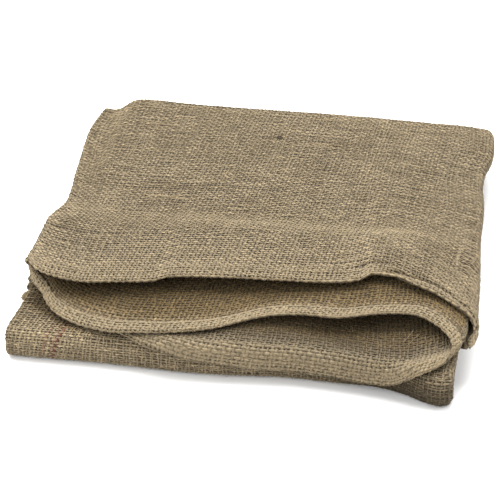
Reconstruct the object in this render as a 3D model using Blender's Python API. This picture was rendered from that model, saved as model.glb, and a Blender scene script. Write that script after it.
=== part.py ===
"""Jute sack, folded flat for storage.

The sack is one cut of open plain-woven jute, folded over at the bottom, sewn
up both sides and hemmed round the mouth.  Laid flat it is 0.60 m wide and
0.90 m long.  It is folded in half across its width, which lays four layers on
each other, and then to and fro twice along its length, which makes three
passes of those four layers.  The mouth ends the top pass, at the front, where
its hem gapes; the sewn bottom ends the lowest pass, at the back.

Axes: +X right, +Y to the back, +Z up.  The origin is on the surface that the
sack lies on, under the middle of the bundle.  All sizes are metres.
"""
import math
from bisect import bisect_right
from collections import namedtuple

import bmesh
import bpy
from mathutils import Vector

# ---- driving dimensions -------------------------------------------------
CLOTH = 0.0012            # thickness of the jute cloth
HEM_CLOTH = 0.0024        # thickness of the turned and sewn mouth hem
HEM_WIDTH = 0.0120        # width of that hem
HEM_STEP = 0.0028         # stretch in which the hem thins to the cloth
PITCH = 0.0031            # rise from one layer of the bundle to the next
MOUTH_START = 0.0020      # y where the top pass starts to open to the mouth
BOTTOM_Y = 0.1480         # y where the sack's sewn bottom lies

LAYERS = 12               # three passes of four layers
TOP = (LAYERS - 1) * PITCH            # height of the top layer's middle

# Middle height of each pass and of the two turns between them.
UPPER, MIDDLE, LOWER = 9.5 * PITCH, 5.5 * PITCH, 1.5 * PITCH
BACK_TURN, FRONT_TURN = 7.5 * PITCH, 3.5 * PITCH
TURN_RADIUS = 2.0 * PITCH             # of the middle of the four layers
OUTER_OFFSET = 1.5 * PITCH            # outer layers, from their middle
INNER_OFFSET = 0.5 * PITCH            # inner layers, from their middle
TURN_DEPTH = 0.80         # depth of a turn over its radius
TURN_SQUARE = 0.78        # under 1 squares a turn off, as its weight does
LIP_CLEARANCE = 0.0009    # least gap of the mouth's lower lip over the front turn

# ---- mesh resolution ----------------------------------------------------
ACROSS = (0.0, 0.018, 0.036, 0.060, 0.100, 0.160, 0.24, 0.30, 0.37, 0.47, 0.60, 0.71,
          0.80, 0.865, 0.915, 0.96, 1.0)
SIDE_TURN_STEPS = 5       # steps round the turn at the right-hand side
TURN_STEPS = 6            # steps round the turns at the back and the front
MOUTH_STEPS = 6           # steps from the hem back to the closed bundle
# Stations of each pass, as shares of its length: closer under the mouth.
UPPER_STOPS = (0.0, 0.20, 0.40, 0.60, 0.80)
MIDDLE_STOPS = (0.0, 0.34, 0.60, 0.74, 0.87)
LOWER_STOPS = (0.0, 0.13, 0.26, 0.40, 0.66)
PROFILE_STEPS = 10        # steps per stretch of a mouth profile

# ---- shape tables -------------------------------------------------------
# Sides of each pass from the front to the back.
Side = namedtuple("Side", "y left right")
UPPER_SIDES = (
    Side(-0.060, -0.1470, 0.1530),
    Side(-0.025, -0.1450, 0.1537),
    Side(0.000, -0.1430, 0.1552),
    Side(0.040, -0.1470, 0.1560),
    Side(0.068, -0.1500, 0.1542),
    Side(0.090, -0.1522, 0.1552),
    Side(0.112, -0.1538, 0.1600),
    Side(0.140, -0.1525, 0.1606),
    Side(0.160, -0.1510, 0.1585),
)
MIDDLE_SIDES = (
    Side(-0.150, -0.1462, 0.1446),
    Side(-0.100, -0.1432, 0.1470),
    Side(-0.020, -0.1478, 0.1492),
    Side(0.070, -0.1498, 0.1518),
    Side(0.160, -0.1505, 0.1575),
)
LOWER_SIDES = (
    Side(-0.150, -0.1470, 0.1450),
    Side(-0.080, -0.1485, 0.1440),
    Side(0.000, -0.1452, 0.1475),
    Side(0.080, -0.1480, 0.1495),
    Side(0.160, -0.1462, 0.1520),
)

# Furthest reach of the two turns and of the sewn bottom, left to right.
Reach = namedtuple("Reach", "x back front bottom")
REACHES = (
    Reach(-0.152, 0.1580, -0.1525, -0.0030),
    Reach(-0.144, 0.1596, -0.1535, -0.0010),
    Reach(-0.139, 0.1628, -0.1537, 0.0000),
    Reach(-0.132, 0.1690, -0.1537, 0.0010),
    Reach(-0.124, 0.1712, -0.1536, 0.0010),
    Reach(-0.110, 0.1712, -0.1534, 0.0005),
    Reach(-0.090, 0.1694, -0.1532, -0.0010),
    Reach(-0.060, 0.1684, -0.1538, -0.0030),
    Reach(-0.030, 0.1680, -0.1548, -0.0045),
    Reach(0.000, 0.1680, -0.1535, -0.0040),
    Reach(0.035, 0.1682, -0.1500, -0.0010),
    Reach(0.070, 0.1676, -0.1508, 0.0030),
    Reach(0.096, 0.1664, -0.1514, 0.0040),
    Reach(0.112, 0.1652, -0.1556, 0.0035),
    Reach(0.128, 0.1642, -0.1632, 0.0015),
    Reach(0.137, 0.1632, -0.1652, 0.0000),
    Reach(0.145, 0.1620, -0.1625, -0.0020),
    Reach(0.160, 0.1590, -0.1570, -0.0040),
)

# Swell and sag of the bundle: rise of its top at a place, fading out over
# `wide` in x and `deep` in y.  Layers below rise in proportion.
Swell = namedtuple("Swell", "x y wide deep rise")
SWELLS = (
    Swell(-0.139, 0.095, 0.0075, 0.070, -0.0040),
    Swell(-0.151, 0.110, 0.0080, 0.060, -0.0022),
    Swell(-0.146, 0.158, 0.0110, 0.022, -0.0034),
    Swell(-0.137, -0.045, 0.0160, 0.016, 0.0008),
    Swell(-0.126, 0.010, 0.0200, 0.022, -0.0016),
    Swell(-0.040, 0.060, 0.0700, 0.060, 0.0018),
    Swell(0.075, 0.030, 0.0600, 0.050, -0.0012),
    Swell(0.138, 0.125, 0.0240, 0.030, 0.0026),
    Swell(0.128, 0.070, 0.0260, 0.026, -0.0018),
    Swell(0.020, 0.130, 0.0800, 0.030, 0.0010),
)
# Sag of what lies under the mouth's two upper lips.
MOUTH_SAG = Swell(0.078, -0.095, 0.0700, 0.052, -0.0075)

# Hem of the mouth.  `at` runs along a layer: 0 at the left seam, 1 where the
# right-hand turn starts, 2 where it ends, 3 at the left seam again.  The cloth
# leaves the bundle level, turns at its knee and runs straight to the hem.
Hem = namedtuple("Hem", "at x y z flare knee_y knee_z bend")
OUTER_HEM = (
    Hem(0.000, -0.1465, -0.0960, 0.0412, 0.0000, -0.060, 0.0408, 0.018),
    Hem(0.030, -0.1385, -0.1055, 0.0420, 0.0000, -0.064, 0.0416, 0.018),
    Hem(0.070, -0.1280, -0.1125, 0.0426, 0.0000, -0.068, 0.0428, 0.020),
    Hem(0.150, -0.1050, -0.1170, 0.0424, 0.0000, -0.078, 0.0442, 0.022),
    Hem(0.235, -0.0800, -0.1145, 0.0430, 0.0000, -0.080, 0.0450, 0.022),
    Hem(0.310, -0.0580, -0.1118, 0.0440, 0.0000, -0.076, 0.0455, 0.022),
    Hem(0.350, -0.0470, -0.1060, 0.0446, 0.0000, -0.072, 0.0458, 0.022),
    Hem(0.470, -0.0120, -0.1010, 0.0446, 0.0000, -0.070, 0.0458, 0.022),
    Hem(0.605, 0.0270, -0.0970, 0.0436, 0.0000, -0.068, 0.0450, 0.022),
    Hem(0.725, 0.0620, -0.0925, 0.0426, 0.0000, -0.064, 0.0442, 0.020),
    Hem(0.785, 0.0790, -0.0880, 0.0438, 0.0000, -0.060, 0.0446, 0.020),
    Hem(0.810, 0.0845, -0.0815, 0.0444, 0.0000, -0.056, 0.0446, 0.018),
    Hem(0.860, 0.1000, -0.0808, 0.0434, 0.0000, -0.055, 0.0438, 0.018),
    Hem(0.910, 0.1145, -0.0868, 0.0416, 0.0000, -0.057, 0.0424, 0.018),
    Hem(0.955, 0.1280, -0.0910, 0.0392, 0.0000, -0.060, 0.0404, 0.018),
    Hem(1.000, 0.1410, -0.0995, 0.0367, 0.0000, -0.066, 0.0380, 0.018),
    Hem(1.250, 0.1535, -0.1095, 0.0338, 0.0000, -0.078, 0.0345, 0.018),
    Hem(1.500, 0.1568, -0.1190, 0.0300, 0.0000, -0.086, 0.0304, 0.018),
    Hem(1.750, 0.1545, -0.1260, 0.0266, 0.0000, -0.090, 0.0268, 0.018),
    Hem(2.000, 0.1470, -0.1290, 0.0247, 0.0000, -0.092, 0.0248, 0.018),
    Hem(2.080, 0.1240, -0.1100, 0.0251, 0.0000, -0.078, 0.0252, 0.018),
    Hem(2.200, 0.0870, -0.1050, 0.0257, 0.0000, -0.070, 0.0258, 0.018),
    Hem(2.600, -0.0300, -0.0860, 0.0252, 0.0000, -0.060, 0.0254, 0.018),
    Hem(2.850, -0.1020, -0.0820, 0.0246, 0.0000, -0.060, 0.0250, 0.018),
    Hem(2.955, -0.1320, -0.0880, 0.0248, 0.0000, -0.060, 0.0252, 0.018),
    Hem(3.000, -0.1445, -0.0980, 0.0252, 0.0000, -0.070, 0.0252, 0.018),
)
INNER_HEM = (
    Hem(0.000, -0.1465, -0.0960, 0.0381, 0.0000, -0.060, 0.0377, 0.018),
    Hem(0.025, -0.1398, -0.1100, 0.0360, 0.0000, -0.078, 0.0366, 0.018),
    Hem(0.055, -0.1312, -0.1190, 0.0320, 0.0000, -0.092, 0.0352, 0.016),
    Hem(0.075, -0.1255, -0.1272, 0.0288, 0.0000, -0.100, 0.0340, 0.014),
    Hem(0.090, -0.1210, -0.1315, 0.0270, 0.0000, -0.105, 0.0332, 0.014),
    Hem(0.120, -0.1120, -0.1378, 0.0259, 0.0000, -0.112, 0.0325, 0.014),
    Hem(0.165, -0.1000, -0.1434, 0.0257, 0.0000, -0.118, 0.0321, 0.014),
    Hem(0.205, -0.0886, -0.1474, 0.0265, 0.0000, -0.122, 0.0322, 0.014),
    Hem(0.245, -0.0776, -0.1508, 0.0280, 0.0000, -0.125, 0.0324, 0.014),
    Hem(0.300, -0.0619, -0.1506, 0.0290, 0.0000, -0.124, 0.0325, 0.014),
    Hem(0.355, -0.0462, -0.1495, 0.0296, 0.0000, -0.122, 0.0325, 0.014),
    Hem(0.440, -0.0209, -0.1435, 0.0300, 0.0000, -0.118, 0.0325, 0.014),
    Hem(0.495, -0.0061, -0.1372, 0.0304, 0.0000, -0.112, 0.0325, 0.014),
    Hem(0.580, 0.0181, -0.1252, 0.0325, 0.0000, -0.101, 0.0336, 0.014),
    Hem(0.670, 0.0436, -0.1220, 0.0348, 0.0000, -0.096, 0.0352, 0.014),
    Hem(0.755, 0.0677, -0.1240, 0.0362, 0.0000, -0.097, 0.0364, 0.014),
    Hem(0.840, 0.0920, -0.1168, 0.0368, 0.0000, -0.092, 0.0368, 0.014),
    Hem(0.910, 0.1125, -0.1126, 0.0362, 0.0020, -0.090, 0.0362, 0.014),
    Hem(0.960, 0.1240, -0.1147, 0.0349, 0.0040, -0.094, 0.0352, 0.012),
    Hem(1.000, 0.1339, -0.1216, 0.0335, 0.0050, -0.1070, 0.0339, 0.009),
    Hem(1.200, 0.1388, -0.1276, 0.0330, 0.0075, -0.1150, 0.0334, 0.009),
    Hem(1.400, 0.1414, -0.1326, 0.0320, 0.0088, -0.1210, 0.0325, 0.009),
    Hem(1.600, 0.1427, -0.1374, 0.0308, 0.0084, -0.1260, 0.0313, 0.009),
    Hem(1.800, 0.1422, -0.1410, 0.0290, 0.0072, -0.1300, 0.0294, 0.009),
    Hem(2.000, 0.1398, -0.1441, 0.0267, 0.0044, -0.1345, 0.0274, 0.009),
    Hem(2.030, 0.1361, -0.1504, 0.0260, 0.0030, -0.1420, 0.0275, 0.009),
    Hem(2.055, 0.1303, -0.1565, 0.0255, 0.0015, -0.1500, 0.0277, 0.009),
    Hem(2.085, 0.1238, -0.1610, 0.0248, 0.0000, -0.1560, 0.0281, 0.009),
    Hem(2.120, 0.1150, -0.1612, 0.0188, 0.0000, -0.1605, 0.0281, 0.010),
    Hem(2.150, 0.1050, -0.1582, 0.0120, 0.0000, -0.1580, 0.0281, 0.010),
    Hem(2.200, 0.0880, -0.1550, 0.0098, 0.0000, -0.1550, 0.0281, 0.010),
    Hem(2.270, 0.0660, -0.1532, 0.0107, 0.0000, -0.153, 0.0281, 0.010),
    Hem(2.350, 0.0400, -0.1526, 0.0116, 0.0000, -0.152, 0.0281, 0.010),
    Hem(2.440, 0.0146, -0.1546, 0.0123, 0.0000, -0.154, 0.0281, 0.010),
    Hem(2.500, -0.0030, -0.1564, 0.0142, 0.0000, -0.156, 0.0281, 0.010),
    Hem(2.570, -0.0239, -0.1574, 0.0163, 0.0000, -0.156, 0.0270, 0.010),
    Hem(2.645, -0.0452, -0.1576, 0.0211, 0.0000, -0.153, 0.0270, 0.008),
    Hem(2.685, -0.0557, -0.1563, 0.0239, 0.0000, -0.145, 0.0270, 0.006),
    Hem(2.720, -0.0665, -0.1508, 0.0254, 0.0000, -0.128, 0.0272, 0.008),
    Hem(2.790, -0.0860, -0.1402, 0.0254, 0.0000, -0.116, 0.0276, 0.010),
    Hem(2.860, -0.1050, -0.1275, 0.0252, 0.0000, -0.104, 0.0280, 0.010),
    Hem(2.950, -0.1312, -0.1130, 0.0262, 0.0000, -0.100, 0.0284, 0.008),
    Hem(3.000, -0.1445, -0.0990, 0.0284, 0.0000, -0.070, 0.0285, 0.010),
)


# ---- helpers ------------------------------------------------------------
def smooth_read(table, key, column, at):
    """One column of a table as a smooth curve, read at a value of `key`."""
    keys = [getattr(row, key) for row in table]
    values = [getattr(row, column) for row in table]
    if at <= keys[0]:
        return values[0]
    if at >= keys[-1]:
        return values[-1]
    low = bisect_right(keys, at) - 1
    slopes = []
    for spot in (low, low + 1):
        before, after = max(spot - 1, 0), min(spot + 1, len(keys) - 1)
        slopes.append((values[after] - values[before]) / (keys[after] - keys[before]))
    span = keys[low + 1] - keys[low]
    part = (at - keys[low]) / span
    rest = 1.0 - part
    return (values[low] * (1.0 + 2.0 * part) * rest * rest
            + slopes[0] * span * part * rest * rest
            + values[low + 1] * part * part * (3.0 - 2.0 * part)
            - slopes[1] * span * part * part * rest)


def ease(part):
    """Runs from 0 to 1 with a level start and end."""
    return part * part * (3.0 - 2.0 * part)


def mix(start, end, part):
    return start + (end - start) * part


def swell_at(x, y, sag):
    """Rise of the top of the bundle above its even height, with a share of the sag."""
    rises = [(1.0, swell) for swell in SWELLS] + [(sag, MOUTH_SAG)]
    return sum(share * s.rise * math.exp(-((x - s.x) / s.wide) ** 2 - ((y - s.y) / s.deep) ** 2)
               for share, s in rises)


def settle(x, y, height, sag=1.0):
    """A place in the bundle, its height swelled; height 0 is the lowest layer."""
    return Vector((x, y, CLOTH / 2 + height * (1.0 + swell_at(x, y, sag) / TOP)))


# ---- one layer across the bundle -----------------------------------------
# A column is a line along the cloth.  `at` is as in the hem tables, `layer` is
# +1 for the outer pair of layers, -1 for the inner pair, and `offset` is its
# distance from the middle of the four layers.
Column = namedtuple("Column", "outer at across out offset")


def columns():
    """The columns round the sack: outer pair, left seam, inner pair, left seam."""
    ring = []
    for outer, reach in ((True, OUTER_OFFSET), (False, INNER_OFFSET)):
        pair = [Column(outer, u, u, 0.0, reach) for u in ACROSS]
        for step in range(1, SIDE_TURN_STEPS):
            part = step / SIDE_TURN_STEPS
            angle = math.pi * part
            pair.append(Column(outer, 1.0 + part, 1.0, reach * math.sin(angle),
                               reach * math.cos(angle)))
        pair += [Column(outer, 3.0 - u, u, 0.0, -reach) for u in reversed(ACROSS)]
        ring.append(pair)
    return ring


def side_x(sides, y, column):
    """The x of a column in a pass, at a y."""
    left = smooth_read(sides, "y", "left", y)
    right = smooth_read(sides, "y", "right", y) - OUTER_OFFSET
    return mix(left, right, column.across) + column.out


def turn_place(centre_y, centre_z, radius, angle, way):
    """A place on a squared-off turn; way is +1 for the back, -1 for the front."""
    run, rise = math.cos(angle), math.sin(angle)
    y = centre_y + way * radius * TURN_DEPTH * abs(run) ** TURN_SQUARE
    z = centre_z + math.copysign(radius * abs(rise) ** TURN_SQUARE, rise)
    return y, z


def turn_centre(x, side):
    """The y of the middle of the back or front turn, so that it reaches its table."""
    reach = smooth_read(REACHES, "x", side, x)
    depth = (TURN_RADIUS + OUTER_OFFSET) * TURN_DEPTH
    return reach - depth if side == "back" else reach + depth


# ---- the mouth ------------------------------------------------------------
def mouth_profile(column):
    """The column's line from the hem back to the closed bundle."""
    table = OUTER_HEM if column.outer else INNER_HEM
    hem = [smooth_read(table, "at", name, column.at) for name in Hem._fields[1:]]
    x, y, z, flare, knee_y, knee_z, bend = hem
    start_x = side_x(UPPER_SIDES, MOUTH_START, column)
    start = Vector((start_x, MOUTH_START, CLOTH / 2 + UPPER + column.offset))
    knee = Vector((x + flare, knee_y, knee_z))
    end = Vector((x, y, z))
    drop = end - knee
    bend = min(bend, 0.8 * drop.length)
    turn_in = knee + Vector((0.0, bend, 0.0))
    turn_out = knee + drop.normalized() * bend
    line = []
    for step in range(2 * PROFILE_STEPS):
        part = step / (2 * PROFILE_STEPS)
        line.append(Vector((mix(start.x, turn_in.x, ease(part)),
                            mix(start.y, turn_in.y, part),
                            mix(start.z, turn_in.z, ease(part)))))
    for step in range(PROFILE_STEPS):
        part = step / PROFILE_STEPS
        line.append(turn_in.lerp(knee, part).lerp(knee.lerp(turn_out, part), part))
    line += [turn_out, turn_out.lerp(end, 0.5), end]
    if not column.outer:
        line = [over_front_turn(place) for place in line]
    return line[::-1]


def over_front_turn(place):
    """The place, pushed out where it would cut into the front turn below it."""
    middle_y = turn_centre(place.x, "front")
    middle_z = CLOTH / 2 + FRONT_TURN
    least = TURN_RADIUS + OUTER_OFFSET + CLOTH / 2 + HEM_CLOTH / 2 + LIP_CLEARANCE
    y, z = place.y - middle_y, place.z - middle_z
    if y >= 0.0:
        return place
    power = 2.0 / TURN_SQUARE
    radius = ((abs(y) / TURN_DEPTH) ** power + abs(z) ** power) ** (1.0 / power)
    push = max(1.0, least / radius)
    return Vector((place.x, middle_y + y * push, middle_z + z * push))


def walk(line, distance):
    """The place at a distance along a line of points."""
    for here, there in zip(line, line[1:]):
        length = (there - here).length
        if distance <= length:
            return here.lerp(there, distance / length)
        distance -= length
    return line[-1]


def mouth_stations(column):
    """Places from the hem back to the closed bundle, and their half thickness."""
    line = mouth_profile(column)
    whole = sum((b - a).length for a, b in zip(line, line[1:]))
    band = HEM_WIDTH + HEM_STEP
    stops = [0.0, HEM_WIDTH] + [mix(band, whole, step / MOUTH_STEPS)
                                for step in range(MOUTH_STEPS)]
    lower = ease(min(max(column.at - 1.0, 0.0), 1.0))
    places = []
    for stop in stops:
        place = walk(line, stop)
        place = settle(place.x, place.y, place.z - CLOTH / 2, lower)
        places.append((place, HEM_CLOTH if stop <= HEM_WIDTH else CLOTH))
    return places


# ---- the folded bundle ----------------------------------------------------
def bundle_stations(column):
    """The column's places from the mouth to the sewn bottom, with thickness."""
    back = turn_centre(side_x(UPPER_SIDES, UPPER_SIDES[-1].y, column), "back")
    front = turn_centre(side_x(MIDDLE_SIDES, MIDDLE_SIDES[0].y, column), "front")
    bottom_x = side_x(LOWER_SIDES, LOWER_SIDES[-1].y, column)
    bottom = BOTTOM_Y + smooth_read(REACHES, "x", "bottom", bottom_x)
    places = mouth_stations(column)

    def lay(sides, start, end, height, stops):
        for stop in stops:
            y = mix(start, end, stop)
            places.append((settle(side_x(sides, y, column), y, height), CLOTH))

    def turn(above, below, centre, height, offset, way):
        """Round a turn, from the pass above it to the pass below."""
        for step in range(TURN_STEPS):
            part = step / TURN_STEPS
            angle = math.pi * (0.5 - part)
            y, z = turn_place(centre, height, TURN_RADIUS + offset, angle, way)
            x = mix(side_x(above, y, column), side_x(below, y, column), ease(part))
            places.append((settle(x, y, z), CLOTH))

    lay(UPPER_SIDES, MOUTH_START, back, UPPER + column.offset, UPPER_STOPS)
    turn(UPPER_SIDES, MIDDLE_SIDES, back, BACK_TURN, column.offset, 1)
    lay(MIDDLE_SIDES, back, front, MIDDLE - column.offset, MIDDLE_STOPS)
    turn(MIDDLE_SIDES, LOWER_SIDES, front, FRONT_TURN, -column.offset, -1)
    lay(LOWER_SIDES, front, bottom, LOWER + column.offset, LOWER_STOPS)
    places.append((settle(side_x(LOWER_SIDES, bottom, column), bottom,
                          LOWER + column.offset), CLOTH))
    return places


def seam_stations(outer, inner):
    """The edge where an outer and an inner layer are sewn together."""
    edge = []
    for (a, thick), (b, _) in zip(outer, inner):
        out = max((a - b).length / 2, CLOTH)
        edge.append(((a + b) / 2 + Vector((-out, 0.0, 0.0)), thick))
    return edge


def sheet_ring():
    """All columns in order round the sack, each a list of (place, thickness)."""
    outer, inner = [[bundle_stations(column) for column in pair] for pair in columns()]
    top_seam = seam_stations(outer[0], inner[0])
    low_seam = seam_stations(outer[-1], inner[-1])
    return outer + [low_seam] + inner[::-1] + [top_seam], len(outer)


def face_normals(ring):
    """Unit normals that point out of the sack, for every place of the ring."""
    around, along = len(ring), len(ring[0])
    normals = []
    for i in range(around):
        before, after = ring[i - 1], ring[(i + 1) % around]
        line = []
        for j in range(along):
            ahead, behind = ring[i][min(j + 1, along - 1)][0], ring[i][max(j - 1, 0)][0]
            side = after[j][0] - before[j][0]
            line.append(side.cross(ahead - behind).normalized())
        normals.append(line)
    return normals


def sack_mesh():
    """The sack as one closed sheet: outside, inside, hem rim and sewn bottom."""
    ring, pair = sheet_ring()
    normals = face_normals(ring)
    around, along = len(ring), len(ring[0])
    mesh = bmesh.new()

    def skin(way):
        rows = []
        for i, line in enumerate(ring):
            verts = []
            for j, (place, thick) in enumerate(line):
                spot = place + normals[i][j] * (way * thick / 2)
                if way < 0 and j == along - 1:
                    spot.y -= CLOTH
                verts.append(mesh.verts.new(spot))
            rows.append(verts)
        return rows

    outside, inside = skin(1), skin(-1)
    for i in range(around):
        k = (i + 1) % around
        for j in range(along - 1):
            mesh.faces.new((outside[i][j], outside[i][j + 1], outside[k][j + 1], outside[k][j]))
            mesh.faces.new((inside[i][j], inside[k][j], inside[k][j + 1], inside[i][j + 1]))
        mesh.faces.new((outside[i][0], outside[k][0], inside[k][0], inside[i][0]))

    # The sewn bottom closes the sack: each outer column meets its inner one.
    twin = [2 * pair - i for i in range(pair)]
    for skin_rows, flip in ((outside, False), (inside, True)):
        last = [row[-1] for row in skin_rows]
        faces = [(last[around - 1], last[0], last[twin[0]]),
                 (last[pair], last[twin[pair - 1]], last[pair - 1])]
        faces += [(last[i], last[i + 1], last[twin[i + 1]], last[twin[i]])
                  for i in range(pair - 1)]
        for face in faces:
            mesh.faces.new(face[::-1] if flip else face)
    bmesh.ops.recalc_face_normals(mesh, faces=mesh.faces)
    return mesh


def jute_material():
    material = bpy.data.materials.new("jute_cloth")
    material.use_nodes = True
    shader = material.node_tree.nodes["Principled BSDF"]
    shader.inputs["Base Color"].default_value = (0.345, 0.262, 0.165, 1.0)
    shader.inputs["Roughness"].default_value = 0.9
    shader.inputs["Metallic"].default_value = 0.0
    return material


def build():
    for item in list(bpy.data.objects):
        bpy.data.objects.remove(item, do_unlink=True)
    shape = sack_mesh()
    data = bpy.data.meshes.new("sack_cloth")
    shape.to_mesh(data)
    shape.free()
    data.materials.append(jute_material())
    data.shade_smooth()
    sack = bpy.data.objects.new("sack_cloth", data)
    bpy.context.scene.collection.objects.link(sack)


build()
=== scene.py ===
"""Looks of the folded jute sack: its cloth, its yarns, hems, seams and loose fibres.

The cloth follows the same sizes and hem tables as the CAD.  On it lie real warp
and weft yarns wherever the cloth shows; elsewhere the cloth's own weave is in its
material.  All sizes are metres.
"""
import math
from collections import namedtuple

import bpy
import numpy as np
from mathutils import Matrix, Vector


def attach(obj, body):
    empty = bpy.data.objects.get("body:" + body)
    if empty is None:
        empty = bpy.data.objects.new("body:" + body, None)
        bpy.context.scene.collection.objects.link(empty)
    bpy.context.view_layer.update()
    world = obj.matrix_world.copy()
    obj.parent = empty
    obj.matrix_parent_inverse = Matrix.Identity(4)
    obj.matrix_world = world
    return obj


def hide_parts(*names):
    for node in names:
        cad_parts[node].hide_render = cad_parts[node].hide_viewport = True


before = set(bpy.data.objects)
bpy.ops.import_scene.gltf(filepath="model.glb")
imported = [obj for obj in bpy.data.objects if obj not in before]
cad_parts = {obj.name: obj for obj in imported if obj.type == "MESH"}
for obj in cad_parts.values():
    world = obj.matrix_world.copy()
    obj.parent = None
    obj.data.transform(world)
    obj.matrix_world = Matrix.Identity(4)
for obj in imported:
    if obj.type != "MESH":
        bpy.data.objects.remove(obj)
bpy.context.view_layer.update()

# ---- sizes, as in the CAD ----
CLOTH = 0.0012
HEM_CLOTH = 0.0024
PITCH = 0.0031
MOUTH_START = 0.0020
BOTTOM_Y = 0.1480
LAYERS = 12
TOP = (LAYERS - 1) * PITCH
UPPER, MIDDLE, LOWER = 9.5 * PITCH, 5.5 * PITCH, 1.5 * PITCH
BACK_TURN, FRONT_TURN = 7.5 * PITCH, 3.5 * PITCH
TURN_RADIUS = 2.0 * PITCH
OUTER_OFFSET = 1.5 * PITCH
INNER_OFFSET = 0.5 * PITCH
TURN_DEPTH = 0.80
TURN_SQUARE = 0.78
LIP_CLEARANCE = 0.0009

Side = namedtuple("Side", "y left right")
UPPER_SIDES = [Side(*row) for row in (
    (-0.06, -0.147, 0.153),
    (-0.025, -0.145, 0.1537),
    (0.0, -0.143, 0.1552),
    (0.04, -0.147, 0.156),
    (0.068, -0.15, 0.1542),
    (0.09, -0.1522, 0.1552),
    (0.112, -0.1538, 0.16),
    (0.14, -0.1525, 0.1606),
    (0.16, -0.151, 0.1585),
)]
MIDDLE_SIDES = [Side(*row) for row in (
    (-0.15, -0.1462, 0.1446),
    (-0.1, -0.1432, 0.147),
    (-0.02, -0.1478, 0.1492),
    (0.07, -0.1498, 0.1518),
    (0.16, -0.1505, 0.1575),
)]
LOWER_SIDES = [Side(*row) for row in (
    (-0.15, -0.147, 0.145),
    (-0.08, -0.1485, 0.144),
    (0.0, -0.1452, 0.1475),
    (0.08, -0.148, 0.1495),
    (0.16, -0.1462, 0.152),
)]

Reach = namedtuple("Reach", "x back front bottom")
REACHES = [Reach(*row) for row in (
    (-0.152, 0.158, -0.1525, -0.003),
    (-0.144, 0.1596, -0.1535, -0.001),
    (-0.139, 0.1628, -0.1537, 0.0),
    (-0.132, 0.169, -0.1537, 0.001),
    (-0.124, 0.1712, -0.1536, 0.001),
    (-0.11, 0.1712, -0.1534, 0.0005),
    (-0.09, 0.1694, -0.1532, -0.001),
    (-0.06, 0.1684, -0.1538, -0.003),
    (-0.03, 0.168, -0.1548, -0.0045),
    (0.0, 0.168, -0.1535, -0.004),
    (0.035, 0.1682, -0.15, -0.001),
    (0.07, 0.1676, -0.1508, 0.003),
    (0.096, 0.1664, -0.1514, 0.004),
    (0.112, 0.1652, -0.1556, 0.0035),
    (0.128, 0.1642, -0.1632, 0.0015),
    (0.137, 0.1632, -0.1652, 0.0),
    (0.145, 0.162, -0.1625, -0.002),
    (0.16, 0.159, -0.157, -0.004),
)]

Swell = namedtuple("Swell", "x y wide deep rise")
SWELLS = [Swell(*row) for row in (
    (-0.139, 0.095, 0.0075, 0.07, -0.004),
    (-0.151, 0.11, 0.008, 0.06, -0.0022),
    (-0.146, 0.158, 0.011, 0.022, -0.0034),
    (-0.137, -0.045, 0.016, 0.016, 0.0008),
    (-0.126, 0.01, 0.02, 0.022, -0.0016),
    (-0.04, 0.06, 0.07, 0.06, 0.0018),
    (0.075, 0.03, 0.06, 0.05, -0.0012),
    (0.138, 0.125, 0.024, 0.03, 0.0026),
    (0.128, 0.07, 0.026, 0.026, -0.0018),
    (0.02, 0.13, 0.08, 0.03, 0.001),
)]
MOUTH_SAG = Swell(0.078, -0.095, 0.0700, 0.052, -0.0075)

Hem = namedtuple("Hem", "at x y z knee_y knee_z bend flare", defaults=(0.0,))
OUTER_HEM = [Hem(*row) for row in (
    (0.0, -0.1465, -0.096, 0.0412, -0.06, 0.0408, 0.018),
    (0.03, -0.1385, -0.1055, 0.042, -0.064, 0.0416, 0.018),
    (0.07, -0.128, -0.1125, 0.0426, -0.068, 0.0428, 0.02),
    (0.15, -0.105, -0.117, 0.0424, -0.078, 0.0442, 0.022),
    (0.235, -0.08, -0.1145, 0.043, -0.08, 0.045, 0.022),
    (0.31, -0.058, -0.1118, 0.044, -0.076, 0.0455, 0.022),
    (0.35, -0.047, -0.106, 0.0446, -0.072, 0.0458, 0.022),
    (0.47, -0.012, -0.101, 0.0446, -0.07, 0.0458, 0.022),
    (0.605, 0.027, -0.097, 0.0436, -0.068, 0.045, 0.022),
    (0.725, 0.062, -0.0925, 0.0426, -0.064, 0.0442, 0.02),
    (0.785, 0.079, -0.088, 0.0438, -0.06, 0.0446, 0.02),
    (0.81, 0.0845, -0.0815, 0.0444, -0.056, 0.0446, 0.018),
    (0.86, 0.1, -0.0808, 0.0434, -0.055, 0.0438, 0.018),
    (0.91, 0.1145, -0.0868, 0.0416, -0.057, 0.0424, 0.018),
    (0.955, 0.128, -0.091, 0.0392, -0.06, 0.0404, 0.018),
    (1.0, 0.141, -0.0995, 0.0367, -0.066, 0.038, 0.018),
    (1.25, 0.1535, -0.1095, 0.0338, -0.078, 0.0345, 0.018),
    (1.5, 0.1568, -0.119, 0.03, -0.086, 0.0304, 0.018),
    (1.75, 0.1545, -0.126, 0.0266, -0.09, 0.0268, 0.018),
    (2.0, 0.147, -0.129, 0.0247, -0.092, 0.0248, 0.018),
    (2.08, 0.124, -0.11, 0.0251, -0.078, 0.0252, 0.018),
    (2.2, 0.087, -0.105, 0.0257, -0.07, 0.0258, 0.018),
    (2.6, -0.03, -0.086, 0.0252, -0.06, 0.0254, 0.018),
    (2.85, -0.102, -0.082, 0.0246, -0.06, 0.025, 0.018),
    (2.955, -0.132, -0.088, 0.0248, -0.06, 0.0252, 0.018),
    (3.0, -0.1445, -0.098, 0.0252, -0.07, 0.0252, 0.018),
)]
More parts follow.
